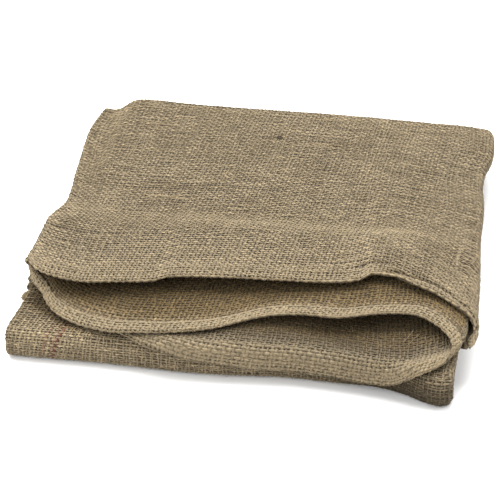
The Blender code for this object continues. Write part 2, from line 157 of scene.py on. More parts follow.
INNER_HEM = [Hem(*row) for row in (
    (0.0, -0.1465, -0.096, 0.0381, -0.06, 0.0377, 0.018),
    (0.025, -0.1398, -0.11, 0.036, -0.078, 0.0366, 0.018),
    (0.055, -0.1312, -0.119, 0.032, -0.092, 0.0352, 0.016),
    (0.075, -0.1255, -0.1272, 0.0288, -0.1, 0.034, 0.014),
    (0.09, -0.121, -0.1315, 0.027, -0.105, 0.0332, 0.014),
    (0.12, -0.112, -0.1378, 0.0259, -0.112, 0.0325, 0.014),
    (0.165, -0.1, -0.1434, 0.0257, -0.118, 0.0321, 0.014),
    (0.205, -0.0886, -0.1474, 0.0265, -0.122, 0.0322, 0.014),
    (0.245, -0.0776, -0.1508, 0.028, -0.125, 0.0324, 0.014),
    (0.3, -0.0619, -0.1506, 0.029, -0.124, 0.0325, 0.014),
    (0.355, -0.0462, -0.1495, 0.0296, -0.122, 0.0325, 0.014),
    (0.44, -0.0209, -0.1435, 0.03, -0.118, 0.0325, 0.014),
    (0.495, -0.0061, -0.1372, 0.0304, -0.112, 0.0325, 0.014),
    (0.58, 0.0181, -0.1252, 0.0325, -0.101, 0.0336, 0.014),
    (0.67, 0.0436, -0.122, 0.0348, -0.096, 0.0352, 0.014),
    (0.755, 0.0677, -0.124, 0.0362, -0.097, 0.0364, 0.014),
    (0.84, 0.092, -0.1168, 0.0368, -0.092, 0.0368, 0.014),
    (0.91, 0.1125, -0.1126, 0.0362, -0.09, 0.0362, 0.014, 0.002),
    (0.96, 0.124, -0.1147, 0.0349, -0.094, 0.0352, 0.012, 0.004),
    (1.0, 0.1339, -0.1216, 0.0335, -0.107, 0.0339, 0.009, 0.005),
    (1.2, 0.1388, -0.1276, 0.033, -0.115, 0.0334, 0.009, 0.0075),
    (1.4, 0.1414, -0.1326, 0.032, -0.121, 0.0325, 0.009, 0.0088),
    (1.6, 0.1427, -0.1374, 0.0308, -0.126, 0.0313, 0.009, 0.0084),
    (1.8, 0.1422, -0.141, 0.029, -0.13, 0.0294, 0.009, 0.0072),
    (2.0, 0.1398, -0.1441, 0.0267, -0.1345, 0.0274, 0.009, 0.0044),
    (2.03, 0.1361, -0.1504, 0.026, -0.142, 0.0275, 0.009, 0.003),
    (2.055, 0.1303, -0.1565, 0.0255, -0.15, 0.0277, 0.009, 0.0015),
    (2.085, 0.1238, -0.161, 0.0248, -0.156, 0.0281, 0.009),
    (2.12, 0.115, -0.1612, 0.0188, -0.1605, 0.0281, 0.01),
    (2.15, 0.105, -0.1582, 0.012, -0.158, 0.0281, 0.01),
    (2.2, 0.088, -0.155, 0.0098, -0.155, 0.0281, 0.01),
    (2.27, 0.066, -0.1532, 0.0107, -0.153, 0.0281, 0.01),
    (2.35, 0.04, -0.1526, 0.0116, -0.152, 0.0281, 0.01),
    (2.44, 0.0146, -0.1546, 0.0123, -0.154, 0.0281, 0.01),
    (2.5, -0.003, -0.1564, 0.0142, -0.156, 0.0281, 0.01),
    (2.57, -0.0239, -0.1574, 0.0163, -0.156, 0.027, 0.01),
    (2.645, -0.0452, -0.1576, 0.0211, -0.153, 0.027, 0.008),
    (2.685, -0.0557, -0.1563, 0.0239, -0.145, 0.027, 0.006),
    (2.72, -0.0665, -0.1508, 0.0254, -0.128, 0.0272, 0.008),
    (2.79, -0.086, -0.1402, 0.0254, -0.116, 0.0276, 0.01),
    (2.86, -0.105, -0.1275, 0.0252, -0.104, 0.028, 0.01),
    (2.95, -0.1312, -0.113, 0.0262, -0.1, 0.0284, 0.008),
    (3.0, -0.1445, -0.099, 0.0284, -0.07, 0.0285, 0.01),
)]

# ---- sizes of the weave ----
WARPS = 108               # warp yarns across one layer
TURN_WARPS = {True: 5, False: 2}      # warps round the right-hand turn, outer and inner
WEFT_PITCH = 0.00255      # from one weft yarn to the next
WARP_WIDE, WEFT_WIDE, YARN_TALL = 0.00170, 0.00174, 0.00074
CRIMP = 0.00036           # height of a yarn over the middle of the cloth at a crossing
HEM_FOLD = 0.0120         # width of the turned hem
HEM_RISE = 0.00060        # half the distance of the hem's two plies
SHEET_BEHIND = 0.00034    # how far the sheet lies behind the middle of its yarns
SHEET_HALF = 0.00012      # half the sheet's own thickness
INNER_WEFT_PITCH = 0.00235            # on the two inner lips
WARP_PITCH = 0.0027                   # roughly, for the fibres
LEFT, RIGHT = -0.147, 0.1505          # x of the top's first and last warps
GRID = 4                              # places of a Cloth for each weft
MOST_OPEN, MOST_PAIRED = 1.25, 1.2
SLUB_SHARE, SLUB_RISE = 0.006, 0.35   # how often a yarn is suddenly thicker, and by how much
FULL_SPACE = 0.0024                   # distance of yarns that leaves them their full height
CALM_TONE = 1.03

# Dense places along a column, for each stretch: mouth, top pass, back turn,
# middle pass, front turn, bottom pass.
STRETCHES = (70, 60, 44, 60, 44, 60)
ENDS = np.cumsum([n - 1 for n in STRETCHES]).tolist()      # last place of each
ROWS = (102, 12, 120, 17, 115)        # wefts in each, mouth and top pass together
SHEET_ROWS = (36, 20, 22, 22, 22, 20)                      # rows of the sheet in each
COLUMNS = (0, 1, 2, 3, 4, 5, 6, 8, 10, 13, 16, 20, 25, 30, 36, 42, 48, 54, 60, 66, 72, 78, 83,
           88, 92, 96, 98, 100, 102, 104, 106, 107, 108)   # of the sheet across a layer
SEAM_STEPS = 4            # steps round a sewn side
INNER_MARK = -1000.0      # added to u on the sheet's inner layers

# Where yarns lie on the cloth, in wefts and, for the left end of the front fold, in warps.
HEM_END, TOP_END = 4.6, 117
NOSE_START, NOSE_SEEN, NOSE_END, NOSE_LEFT = 207, 219, 254, 192


# ---- the cloth's middle surface ----
def smooth_read(table, key, column, at):
    """A column of a table as a smooth curve, read at many values of `key`."""
    keys = np.array([getattr(row, key) for row in table])
    values = np.array([getattr(row, column) for row in table])
    after = np.minimum(np.arange(len(keys)) + 1, len(keys) - 1)
    before = np.maximum(np.arange(len(keys)) - 1, 0)
    slopes = (values[after] - values[before]) / (keys[after] - keys[before])
    at = np.clip(np.asarray(at, float), keys[0], keys[-1])
    low = np.clip(np.searchsorted(keys, at, side="right") - 1, 0, len(keys) - 2)
    span = keys[low + 1] - keys[low]
    part = (at - keys[low]) / span
    rest = 1.0 - part
    return (values[low] * (1.0 + 2.0 * part) * rest * rest
            + slopes[low] * span * part * rest * rest
            + values[low + 1] * part * part * (3.0 - 2.0 * part)
            - slopes[low + 1] * span * part * part * rest)


def ease(part):
    part = np.clip(part, 0.0, 1.0)
    return part * part * (3.0 - 2.0 * part)


def mix(start, end, part):
    return start + (end - start) * part


def hump(x, middle, wide):
    return np.exp(-((x - middle) / wide) ** 2)


def band(x, start, rise, end, fall):
    """1 between two places, easing up from the start and down from the end."""
    return ease((x - start) / rise) * (1.0 - ease((x - end) / fall))


def along_line(stops, length, line):
    """The line's rows (places or directions) at distances along it."""
    return np.stack([np.interp(stops, length, line[:, k]) for k in range(3)], -1)


def settle(x, y, height, sag):
    """Places in the bundle, their heights swelled; height 0 is the lowest layer."""
    rise = sum(s.rise * hump(x, s.x, s.wide) * hump(y, s.y, s.deep) for s in SWELLS)
    rise = rise + sag * (MOUTH_SAG.rise * hump(x, MOUTH_SAG.x, MOUTH_SAG.wide)
                         * hump(y, MOUTH_SAG.y, MOUTH_SAG.deep))
    return np.stack(np.broadcast_arrays(x, y, CLOTH / 2 + height * (1.0 + rise / TOP)), -1)


def even_steps(line, count):
    """A line of places, resampled to `count` places at even distances."""
    length = np.r_[0.0, np.cumsum(np.linalg.norm(np.diff(line, axis=0), axis=1))]
    return along_line(np.linspace(0.0, length[-1], count), length, line)


class Path:
    """One of the two pairs of layers, outer or inner, as columns of dense places."""

    def __init__(self, outer, at):
        at = np.asarray(at, float)[:, None]
        reach = OUTER_OFFSET if outer else INNER_OFFSET
        round_ = np.clip(at - 1.0, 0.0, 1.0) * math.pi
        self.outer, self.at = outer, at
        self.across = np.where(at <= 1.0, at, np.where(at < 2.0, 1.0, 3.0 - at))
        self.out = reach * np.sin(round_)
        self.offset = reach * np.cos(round_)

    def side_x(self, sides, y):
        left = smooth_read(sides, "y", "left", y)
        right = smooth_read(sides, "y", "right", y) - OUTER_OFFSET
        return mix(left, right, self.across) + self.out

    def mouth(self, count):
        """From the hem back to the closed bundle, at even distances."""
        table = OUTER_HEM if self.outer else INNER_HEM
        x, y, z, knee_y, knee_z, bend, flare = [
            smooth_read(table, "at", name, self.at[:, 0]) for name in Hem._fields[1:]]
        start = np.stack([self.side_x(UPPER_SIDES, MOUTH_START)[:, 0],
                          np.full_like(x, MOUTH_START),
                          CLOTH / 2 + UPPER + self.offset[:, 0]], -1)
        knee = np.stack([x + flare, knee_y, knee_z], -1)
        end = np.stack([x, y, z], -1)
        drop = end - knee
        length = np.linalg.norm(drop, axis=1)
        bend = np.minimum(bend, 0.8 * length)[:, None]
        turn_in = knee + bend * np.array([0.0, 1.0, 0.0])
        turn_out = knee + drop / length[:, None] * bend
        part = np.linspace(0.0, 1.0, 61)[None, :, None]
        level = mix(start[:, None], turn_in[:, None], ease(part))
        level[..., 1] = mix(start[:, None, 1], turn_in[:, None, 1], part[..., 0])
        part = np.linspace(0.0, 1.0, 31)[None, 1:, None]
        curve = mix(mix(turn_in[:, None], knee[:, None], part),
                    mix(knee[:, None], turn_out[:, None], part), part)
        part = np.linspace(0.0, 1.0, 13)[None, 1:, None]
        straight = mix(turn_out[:, None], end[:, None], part)
        lines = np.concatenate([level, curve, straight], 1)
        if not self.outer:
            lines = over_front_turn(lines)
        lines = np.stack([even_steps(line[::-1], count) for line in lines])
        lower = ease(self.at - 1.0)
        return settle(lines[..., 0], lines[..., 1], lines[..., 2] - CLOTH / 2, lower), lower

    def places(self):
        """All dense places, from the hem to the closed bottom."""
        back = turn_centre(self.side_x(UPPER_SIDES, UPPER_SIDES[-1].y), "back")
        front = turn_centre(self.side_x(MIDDLE_SIDES, MIDDLE_SIDES[0].y), "front")
        bottom = BOTTOM_Y + smooth_read(REACHES, "x", "bottom",
                                        self.side_x(LOWER_SIDES, LOWER_SIDES[-1].y))
        mouth, lower = self.mouth(STRETCHES[0])
        parts = [mouth[:, :-1]]

        def lay(sides, start, end, height, count, sag=1.0):
            y = mix(start, end, np.linspace(0.0, 1.0, count)[None, :-1])
            sag = mix(sag, 1.0, ease((y - start) / 0.03))
            parts.append(settle(self.side_x(sides, y), y, height, sag))

        def turn(above, below, centre, height, offset, way, count):
            part = np.linspace(0.0, 1.0, count)[None, :-1]
            angle = math.pi * (0.5 - part)
            run, rise = np.cos(angle), np.sin(angle)
            radius = TURN_RADIUS + offset
            y = centre + way * radius * TURN_DEPTH * np.abs(run) ** TURN_SQUARE
            z = height + np.sign(rise) * radius * np.abs(rise) ** TURN_SQUARE
            x = mix(self.side_x(above, y), self.side_x(below, y), ease(part))
            parts.append(settle(x, y, z, 1.0))

        lay(UPPER_SIDES, MOUTH_START, back, UPPER + self.offset, STRETCHES[1], lower)
        turn(UPPER_SIDES, MIDDLE_SIDES, back, BACK_TURN, self.offset, 1, STRETCHES[2])
        lay(MIDDLE_SIDES, back, front, MIDDLE - self.offset, STRETCHES[3])
        turn(MIDDLE_SIDES, LOWER_SIDES, front, FRONT_TURN, -self.offset, -1, STRETCHES[4])
        y = mix(front, bottom, np.linspace(0.0, 1.0, STRETCHES[5])[None, :])
        parts.append(settle(self.side_x(LOWER_SIDES, y), y, LOWER + self.offset, 1.0))
        return np.concatenate(parts, 1)


def turn_centre(x, side):
    reach = smooth_read(REACHES, "x", side, x)
    depth = (TURN_RADIUS + OUTER_OFFSET) * TURN_DEPTH
    return reach - depth if side == "back" else reach + depth


def over_front_turn(places):
    """Places, pushed out where they would cut into the front turn below them."""
    middle_y = turn_centre(places[..., 0], "front")
    middle_z = CLOTH / 2 + FRONT_TURN
    least = TURN_RADIUS + OUTER_OFFSET + CLOTH / 2 + HEM_CLOTH / 2 + LIP_CLEARANCE
    y, z = places[..., 1] - middle_y, places[..., 2] - middle_z
    power = 2.0 / TURN_SQUARE
    radius = ((np.abs(y) / TURN_DEPTH) ** power + np.abs(z) ** power) ** (1.0 / power)
    push = np.where(y < 0.0, np.maximum(1.0, least / np.maximum(radius, 1e-6)), 1.0)
    return np.stack([places[..., 0], middle_y + y * push, middle_z + z * push], -1)


def seam_arc(a, b, steps):
    """Columns round a sewn side, from one layer's edge a to the other's edge b."""
    middle, half = (a + b) / 2, (a - b) / 2
    out = np.maximum(np.linalg.norm(half, axis=-1, keepdims=True), CLOTH)
    way = np.array([-1.0, 0.0, 0.0])
    return [middle + half * math.cos(t) + way * out * math.sin(t)
            for t in np.linspace(0.0, math.pi, steps + 1)[1:-1]]


def unit(v):
    return v / np.maximum(np.linalg.norm(v, axis=-1, keepdims=True), 1e-12)


def even_warps(u, places, whole, reach):
    """Columns moved along the mouth so that its warps lie evenly round it.

    The mouth is drawn wider at the right than the closed bundle, and the warps
    share that out between them; past `reach` places they run as in the bundle.
    """
    inner = (u >= 0) & (u <= whole)
    moved = places.copy()
    for k in range(reach):
        line = places[inner, k]
        length = np.r_[0.0, np.cumsum(np.linalg.norm(np.diff(line, axis=0), axis=1))]
        even = np.interp(u[inner] / whole * length[-1], length, u[inner])
        share = 1.0 - float(ease((k / reach - 0.25) / 0.75))
        target = mix(u[inner], even, share)
        for axis in range(3):
            moved[inner, k, axis] = np.interp(target, u[inner], line[:, axis])
    return moved


class Cloth:
    """A stretch of the sack as a smooth sheet over u, in warps, and v, in wefts."""

    weft, outward, shift = WEFT_PITCH, 1.0, None

    def __init__(self, u, places, rows, hem, relief=None):
        """rows is [(first v, last v, first place, last place)] for each stretch."""
        self.u = np.asarray(u, float)
        side = np.gradient(places, self.u, axis=0)
        along = np.gradient(places, axis=1)
        normals = unit(np.cross(side, along)) * self.outward
        length = np.concatenate([np.zeros((len(u), 1)), np.cumsum(
            np.linalg.norm(np.diff(places, axis=1), axis=2), axis=1)], 1)
        v_first, v_last = rows[0][0], rows[-1][1]
        if hem:
            v_first = -(HEM_FOLD - HEM_RISE + 0.5 * math.pi * HEM_RISE) / self.weft
        self.v = np.linspace(v_first, v_last, int((v_last - v_first) * GRID) + 1)
        spots = np.zeros((len(u), len(self.v), 3))
        ups = np.zeros_like(spots)
        for i in range(len(u)):
            stops, rise = self.stops(length[i], rows)
            spots[i] = along_line(stops, length[i], places[i])
            ups[i] = along_line(stops, length[i], normals[i])
        ups = unit(ups)
        if relief is not None:
            spots = spots + ups * relief(self.u[:, None], self.v[None, :])[..., None]
        if hem:
            spots = spots + ups * rise[None, :, None]
            forward = unit(np.gradient(spots, axis=1))
            across = unit(np.gradient(spots, self.u, axis=0))
            turned = unit(np.cross(across, forward)) * self.outward
            near = (self.v < 1.5)[None, :, None]
            ups = np.where(near, turned, ups)
        self.spots, self.ups = spots, ups
        self.pitch_v = np.linalg.norm(np.gradient(spots, self.v, axis=1), axis=2)
        self.pitch_u = np.linalg.norm(np.gradient(spots, self.u, axis=0), axis=2)

    def stops(self, length, rows):
        """Distance along a column at each v, and the rise over the middle surface."""
        v = self.v
        knots_v = [rows[0][0], *(row[1] for row in rows)]
        knots_s = [length[rows[0][2]], *(length[row[3]] for row in rows)]
        stops = np.interp(np.maximum(v, knots_v[0]), knots_v, knots_s)
        if v[0] >= 0.0:
            return stops, np.zeros_like(v)
        flat, rise = self.hem_stops()
        return np.where(v * self.weft < 0.5 * math.pi * HEM_RISE, flat, stops), rise

    def hem_stops(self):
        """The same at the hem, where the cloth turns back on itself."""
        q = self.v * self.weft
        quarter = 0.5 * math.pi * HEM_RISE
        turn = np.clip(q / HEM_RISE, -math.pi / 2, math.pi / 2)
        stops = np.where(np.abs(q) < quarter, HEM_RISE * (1.0 - np.cos(turn)),
                         HEM_RISE + np.abs(q) - quarter)
        fade = 1.0 - ease((stops - HEM_FOLD + 0.002) / 0.009)
        return stops, HEM_RISE * np.sin(turn) * np.where(q > 0, fade, 1.0)

    def slant(self, share):
        """Lets the warps run straight over the top and a little askew, by a share of y."""
        straight, fade = 100.0, 30.0    # it holds for so many warps, then fades over so many
        inner, beyond = (self.u >= 0.0) & (self.u <= straight), self.u > straight
        u = self.u[inner]
        moved = np.zeros(self.spots.shape[:2])
        hold = 1.0 - ease((self.u - WARPS) / fade)
        for j in np.flatnonzero(self.v <= ROWS[0]):
            x, y = self.spots[inner, j, 0], self.spots[inner, j, 1]
            wanted = (mix(LEFT, RIGHT, u / WARPS) + (x[0] - LEFT) * np.exp(-u / 7.0)
                      + share * ease(u / 45.0) * (y - 0.030))
            step = np.interp(wanted, x, u) - u
            moved[inner, j] = step
            moved[beyond, j] = (step[-1] * hold)[beyond]
            last = moved[:, j]
        after = self.v > ROWS[0]
        moved[:, after] = last[:, None] * (1.0 - ease((self.v[after] - ROWS[0]) / fade))[None]
        self.shift = moved

    def read(self, table, u, v):
        """A table of the sheet at any u and v, between its grid's places."""
        if self.shift is not None:
            u = u + self.between(self.shift, u, v)
        return self.between(table, u, v)

    def between(self, table, u, v):
        iu = np.clip(np.searchsorted(self.u, u, side="right") - 1, 0, len(self.u) - 2)
        pu = np.clip((u - self.u[iu]) / (self.u[iu + 1] - self.u[iu]), 0.0, 1.0)
        fv = (np.clip(v, self.v[0], self.v[-1]) - self.v[0]) / (self.v[1] - self.v[0])
        iv = np.clip(fv.astype(int), 0, len(self.v) - 2)
        pv = fv - iv
        if table.ndim == 3:
            pu, pv = pu[..., None], pv[..., None]
        return ((table[iu, iv] * (1 - pu) + table[iu + 1, iv] * pu) * (1 - pv)
                + (table[iu, iv + 1] * (1 - pu) + table[iu + 1, iv + 1] * pu) * pv)


# ---- yarns ----
def wander(rng, lines, count, reach, slow):
    """Slow random curves, one for each line: where a yarn strays from its place."""
    knots = np.arange(-slow, count + 2 * slow, slow)
    values = rng.normal(0.0, reach, (lines, len(knots)))
    at = np.arange(count)
    low = np.searchsorted(knots, at, side="right") - 1
    part = ease((at - knots[low]) / slow)
    return values[:, low] * (1 - part) + values[:, low + 1] * part


def place_piece(name, mesh, material):
    """The mesh as a smooth object of the scene."""
    mesh.shade_smooth()
    mesh.materials.append(material)
    piece = bpy.data.objects.new(name, mesh)
    bpy.context.scene.collection.objects.link(piece)
    return piece


class Tubes:
    """Collects yarns as flattened tubes for one mesh; with three sides the underside is flat."""

    def __init__(self, name, sides=3):
        self.name, self.sides = name, sides
        self.verts, self.faces = [], []
        # the marks carry painted shade and its browner tint besides each yarn's own tone
        self.marks = {"tone": [], "run": [], "round": [], "dye": [], "age": []}
        self.count = 0

    def add(self, centre, up, wide, tall, tone, keep=None, dye=0.0, age=0.0):
        """Lines of places as tubes: centre (lines, places, 3), keep (lines, places)."""
        lines, places = centre.shape[:2]
        if keep is None:
            keep = np.ones((lines, places), bool)
        ahead = unit(np.gradient(centre, axis=1))
        side = unit(np.cross(ahead, up))
        up = np.cross(side, ahead)
        turn = np.arange(self.sides) * (math.pi / 2)
        half_wide, half_tall = (wide / 2)[..., None, None], (tall / 2)[..., None, None]
        ring = (centre[:, :, None] + side[:, :, None] * np.cos(turn)[:, None] * half_wide
                + up[:, :, None] * np.sin(turn)[:, None] * half_tall)
        run = np.cumsum(np.r_[0.0, np.linalg.norm(np.diff(centre, axis=1), axis=2).mean(0)])
        index = np.arange(lines * places * self.sides).reshape(lines, places, self.sides)
        joined = keep[:, :-1] & keep[:, 1:]
        here, there = index[:, :-1][joined], index[:, 1:][joined]
        k = np.arange(self.sides)
        j = (k + 1) % self.sides
        quads = np.stack([here[:, k], there[:, k], there[:, j], here[:, j]], -1).reshape(-1, 4)
        # a cap closes each end
        first = keep & ~np.pad(keep, ((0, 0), (1, 0)))[:, :-1]
        last = keep & ~np.pad(keep, ((0, 0), (0, 1)))[:, 1:]
        caps = np.concatenate([index[first], index[last][:, ::-1]])
        used = np.zeros(lines * places * self.sides, bool)
        used[quads] = True
        fresh = np.cumsum(used) - 1
        ring = ring.reshape(-1, 3)[used]
        self.verts.append(ring)
        shape = (lines, places, self.sides)
        dye, age = (np.broadcast_to(np.asarray(a, float), (lines, places))[..., None]
                    for a in (dye, age))
        for name, values in (("tone", tone[..., None]), ("run", run[None, :, None]), ("dye", dye),
                             ("round", turn / (2 * math.pi)), ("age", age)):
            self.marks[name].append(np.broadcast_to(values, shape).reshape(-1)[used])
        self.faces.append(fresh[quads] + self.count)
        good = used[caps].all(1)
        self.faces.append(fresh[caps[good]] + self.count)
        self.count += len(ring)

    def build(self, material):
        verts = np.concatenate(self.verts)
        quads, threes = (np.concatenate([np.zeros((0, n), int),
                                         *(f for f in self.faces if f.shape[1] == n)])
                         for n in (4, 3))
        corners = np.r_[quads.ravel(), threes.ravel()]
        starts = np.r_[np.arange(len(quads)) * 4, quads.size + np.arange(len(threes)) * 3]
        mesh = bpy.data.meshes.new(self.name)
        mesh.vertices.add(len(verts))
        mesh.vertices.foreach_set("co", verts.astype(np.float32).ravel())
        mesh.loops.add(len(corners))
        mesh.loops.foreach_set("vertex_index", corners.astype(np.int32))
        mesh.polygons.add(len(starts))
        mesh.polygons.foreach_set("loop_start", starts.astype(np.int32))
        mesh.update(calc_edges=True)
        mesh.validate()
        for name, values in self.marks.items():
            layer = mesh.attributes.new(name, "FLOAT", "POINT")
            layer.data.foreach_set("value", np.concatenate(values).astype(np.float32))
        return place_piece(self.name, mesh, material)


# Where the weave stands open, in x and y of its place: the wefts draw together.
Patch = namedtuple("Patch", "x y wide deep open")


def openness(patches, x, y, seed, base):
    """0 where the yarns lie close, 1 where they part: the patches and a few slow waves."""
    level = np.full(x.shape, base)
    for p in patches:
        level = level + 0.75 * p.open * hump(x, p.x, p.wide) * hump(y, p.y, p.deep)
    waves = ((31, 43, 0.09), (77, 58, 0.09), (140, 190, 0.08), (260, 150, 0.07))
    for k, (along_x, along_y, reach) in enumerate(waves):
        a, b = 1.7 * k + seed, 2.9 * k + 0.4 * seed
        level = level + reach * np.sin(along_x * x + 14 * y + a) * np.sin(along_y * y - 9 * x + b)
    return np.clip(level, 0.0, 1.0)


def nothing(u, v):
    return 0.0


def no_shade(u, v):
    return 0.0, 0.0


def outside_face(u, v):
    return 1.0


def every_yarn(u, v):
    return np.ones(u.shape, bool)


def weave(cloth, name, warps, wefts, seed, patches, warp_mask=every_yarn, weft_mask=every_yarn,
          tight=nothing, gaps=nothing, parted=nothing, pull=nothing, stain=nothing, calm=nothing,
          deep=no_shade, face=outside_face, halves=1, thin=1.0, wefts_thin=1.0, base=0.30,
          pairs=0.6, sides=3, tones=((1.04, 0.80, 0.74), (1.06, 0.94, 0.74))):
    """Warp and weft yarns over a part of the cloth; returns their tubes, the warps' first.

    warps and wefts are the whole u and v that carry yarns.  The functions of u and v:
    the masks say where a yarn is there, tight closes the weave and gaps opens it, parted
    moves the wefts and pull the warps, stain dyes them, calm evens their tone, deep gives
    the shares of painted shade and of its browner tint, and face is -1 where the other
    side of the cloth shows.
    base is how open the weave is, pairs how far neighbours lean together, thin and
    wefts_thin scale the widths, and tones are those over, between and under a crossing,
    for warps and for wefts; the lower ones are painted shade where a yarn dives under.
    """
    rng = np.random.default_rng(seed)
    nu, nv = len(warps), len(wefts)
    u0, v0 = np.meshgrid(warps.astype(float), wefts.astype(float), indexing="ij")
    spot = cloth.read(cloth.spots, u0, v0)
    gap = openness(patches, spot[..., 0], spot[..., 1], seed, base)
    gap = gap + wander(rng, nu, nv, 0.14, 2) + wander(rng, nv, nu, 0.15, 3).T
    gap = np.clip(gap + gaps(u0, v0), 0.0, MOST_OPEN) * (1.0 - tight(u0, v0))
    drift_u = wander(rng, nu, nv, 0.13, 7) + wander(rng, nu, nv, 0.10, 2)
    drift_v = (wander(rng, nv, nu, 0.12, 12) + wander(rng, nv, nu, 0.08, 3)).T
    parity = (warps[:, None] + wefts[None, :]) % 2
    # the reed leaves the warps in pairs, more so where the cloth stands open
    pair = np.clip(wander(rng, nu, nv, 1.0, 9), -MOST_PAIRED, MOST_PAIRED)
    lean = (np.where(warps % 2 == 0, 1.0, -1.0)[:, None] * pairs
            * (0.03 + gap * (0.06 + 0.09 * pair)))
    u = u0 + drift_u * (0.6 + gap) + lean + pull(u0, v0)
    pair = np.clip(wander(rng, nv, nu, 1.0, 14).T, -MOST_PAIRED, MOST_PAIRED)
    lean = 0.12 * pairs * gap * np.where(wefts % 2 == 0, 1.0, -1.0)[None, :] * pair
    v = v0 + drift_v * (0.6 + gap) + lean + parted(u0, v0)

    def lay(is_warp):
        """The yarns of one direction, with two places for each crossing."""
        uu, vv, par, g = (u, v, parity, gap) if is_warp else (u.T, v.T, 1 - parity.T, gap.T)
        lines, count = uu.shape
        stops = 2 * count - 1

        def doubled(values):
            """Values at the crossings, and half-way between them."""
            both = np.zeros((lines, stops))
            both[:, ::2] = values
            both[:, 1::2] = (values[:, 1:] + values[:, :-1]) / 2
            return both

        wide_u, wide_v, open_ = doubled(uu), doubled(vv), doubled(g)
        rise = np.zeros_like(wide_u)
        rise[:, ::2] = np.where(par == 0, CRIMP, -CRIMP)
        centre = cloth.read(cloth.spots, wide_u, wide_v)
        up = unit(cloth.read(cloth.ups, wide_u, wide_v))
        space = cloth.read(cloth.pitch_u if is_warp else cloth.pitch_v, wide_u, wide_v)
        slub = 1.0 + wander(rng, lines, stops, 0.09, 5) + wander(rng, lines, stops, 0.07, 17)
        slub = slub + rng.normal(0.0, 0.05, slub.shape)
        thick = 1.0 + rng.normal(0.0, 0.055, (lines, 1))
        slub[rng.random(slub.shape) < SLUB_SHARE] += SLUB_RISE
        wide = WARP_WIDE if is_warp else WEFT_WIDE * wefts_thin
        wide = np.minimum(wide * thin * slub * thick * (1.30 - 0.62 * open_), space * 1.02)
        tall = YARN_TALL * np.clip(slub, 0.7, 1.3) * np.clip(space / FULL_SPACE, 0.45, 1.0)
        centre = centre + up * (rise + rng.normal(0.0, 0.00006, rise.shape))[..., None]
        tone = 1.0 + rng.normal(0.0, 0.03 if is_warp else 0.035, (lines, 1))
        tone = tone + wander(rng, lines, stops, 0.035, 9) + rng.normal(0.0, 0.15, rise.shape)
        # painted shade: a yarn is darker between and under its crossings, where it dives under
        # another
        over, between, under = tones[0] if is_warp else tones[1]
        seen = rise * face(wide_u, wide_v)
        tone = tone * np.where(seen > 0, over, np.where(seen < 0, under, between))
        # painted shade from deep: yarns darker by its first share, browner by its second
        dark, age = deep(wide_u, wide_v)
        tone = mix(tone, CALM_TONE, calm(wide_u, wide_v)) * (1.0 - dark)
        # the threads of the stripe bleed a little into the wefts
        dye = stain(wide_u - pull(wide_u, wide_v), wide_v) * (1.0 if is_warp else 0.25)
        return centre, up, wide, tall, tone, np.clip(dye, 0.0, 1.0), np.clip(age, 0.0, 1.0)

    pieces = []
    for is_warp, label, mask in ((True, "warp", warp_mask), (False, "weft", weft_mask)):
        centre, up, wide, tall, tone, dye, age = lay(is_warp)
        small = mask(u0, v0) if is_warp else mask(u0, v0).T
        keep = np.ones(centre.shape[:2], bool)
        keep[:, ::2] = small
        keep[:, 1::2] = small[:, 1:] & small[:, :-1]
        total = keep.shape[1 if is_warp else 0]
        for half in range(halves):
            first, last = total * half // halves, total * (half + 1) // halves
            span = (slice(None), slice(first, last + 1)) if is_warp else slice(first, last)
            share = np.zeros_like(keep)
            share[span] = keep[span]
            ending = "" if halves == 1 else f"_{half + 1}"
            tubes = Tubes(f"{name}_{label}{ending}", sides)
            tubes.add(centre, up, wide, tall, tone, share, dye, age)
            pieces.append(tubes)
    return pieces


# ---- materials ----
JUTE = (0.173, 0.1345, 0.0815)
SHADE_TINT = (1.02, 0.88, 0.59)              # browner tint of painted shade in hollows, the crease and under the lips, times JUTE
RED = (0.085, 0.022, 0.014)
STRIPE_U, STRIPE_HALF = 209.0, 1.4     # middle and half width of the stripe, in warps
TWIST = 2400.0                         # a yarn's twist, in radians for each metre
TWIST_ROUND = 12.566                   # and in radians once round it


class Look:
    """A material's nodes, with short ways to add to them."""

    def __init__(self, name, specular):
        self.material = bpy.data.materials.new(name)
        self.material.use_nodes = True
        self.tree = self.material.node_tree
        self.shader = self.tree.nodes["Principled BSDF"].inputs
        self.shader["Specular IOR Level"].default_value = specular
        self.place = self.node("TexCoord").outputs["Object"]

    def put(self, socket, value):
        """Sets a socket to a number or colour, or links another node's result to it."""
        if isinstance(value, bpy.types.NodeSocket):
            self.tree.links.new(value, socket)
        else:
            socket.default_value = value

    def node(self, kind, inputs=None, **settings):
        made = self.tree.nodes.new("ShaderNode" + kind)
        for key, value in settings.items():
            setattr(made, key, value)
        for key, value in (inputs or {}).items():
            self.put(made.inputs[key], value)
        return made

    def maths(self, kind, *values):
        made = self.node("Math", operation=kind)
        for socket, value in zip(made.inputs, values):
            self.put(socket, value)
        return made.outputs[0]

    def mark(self, name, output="Fac"):
        return self.node("Attribute", attribute_name=name).outputs[output]

    def noise(self, scale, detail, roughness=0.5):
        return self.node("TexNoise", {"Vector": self.place, "Scale": scale, "Detail": detail,
                                      "Roughness": roughness}).outputs["Fac"]

    def mixed(self, share, a, b):
        made = self.node("Mix", {"Factor": share, "A": a, "B": b}, data_type="RGBA")
        return made.outputs["Result"]

    def ramp(self, level, colours, ends=(0.0, 1.0)):
        made = self.node("ValToRGB", {"Fac": level})
        for stop, place, colour in zip(made.color_ramp.elements, ends, colours):
            stop.position, stop.color = place, (*colour, 1.0)
        return made.outputs["Color"]

    def bump(self, height, strength, distance, **normal):
        return self.node("Bump", {"Height": height, "Strength": strength, "Distance": distance,
                                  **normal}).outputs[0]

    def finish(self, colour, rough_by, least, most, normal):
        rough = self.node("MapRange", {"Value": rough_by, "To Min": least, "To Max": most})
        for key, value in (("Base Color", colour), ("Roughness", rough.outputs[0]),
                           ("Normal", normal)):
            self.put(self.shader[key], value)
        return self.material


def tinted(colour, by):
    return (*[c * s for c, s in zip(colour, by)], 1.0)


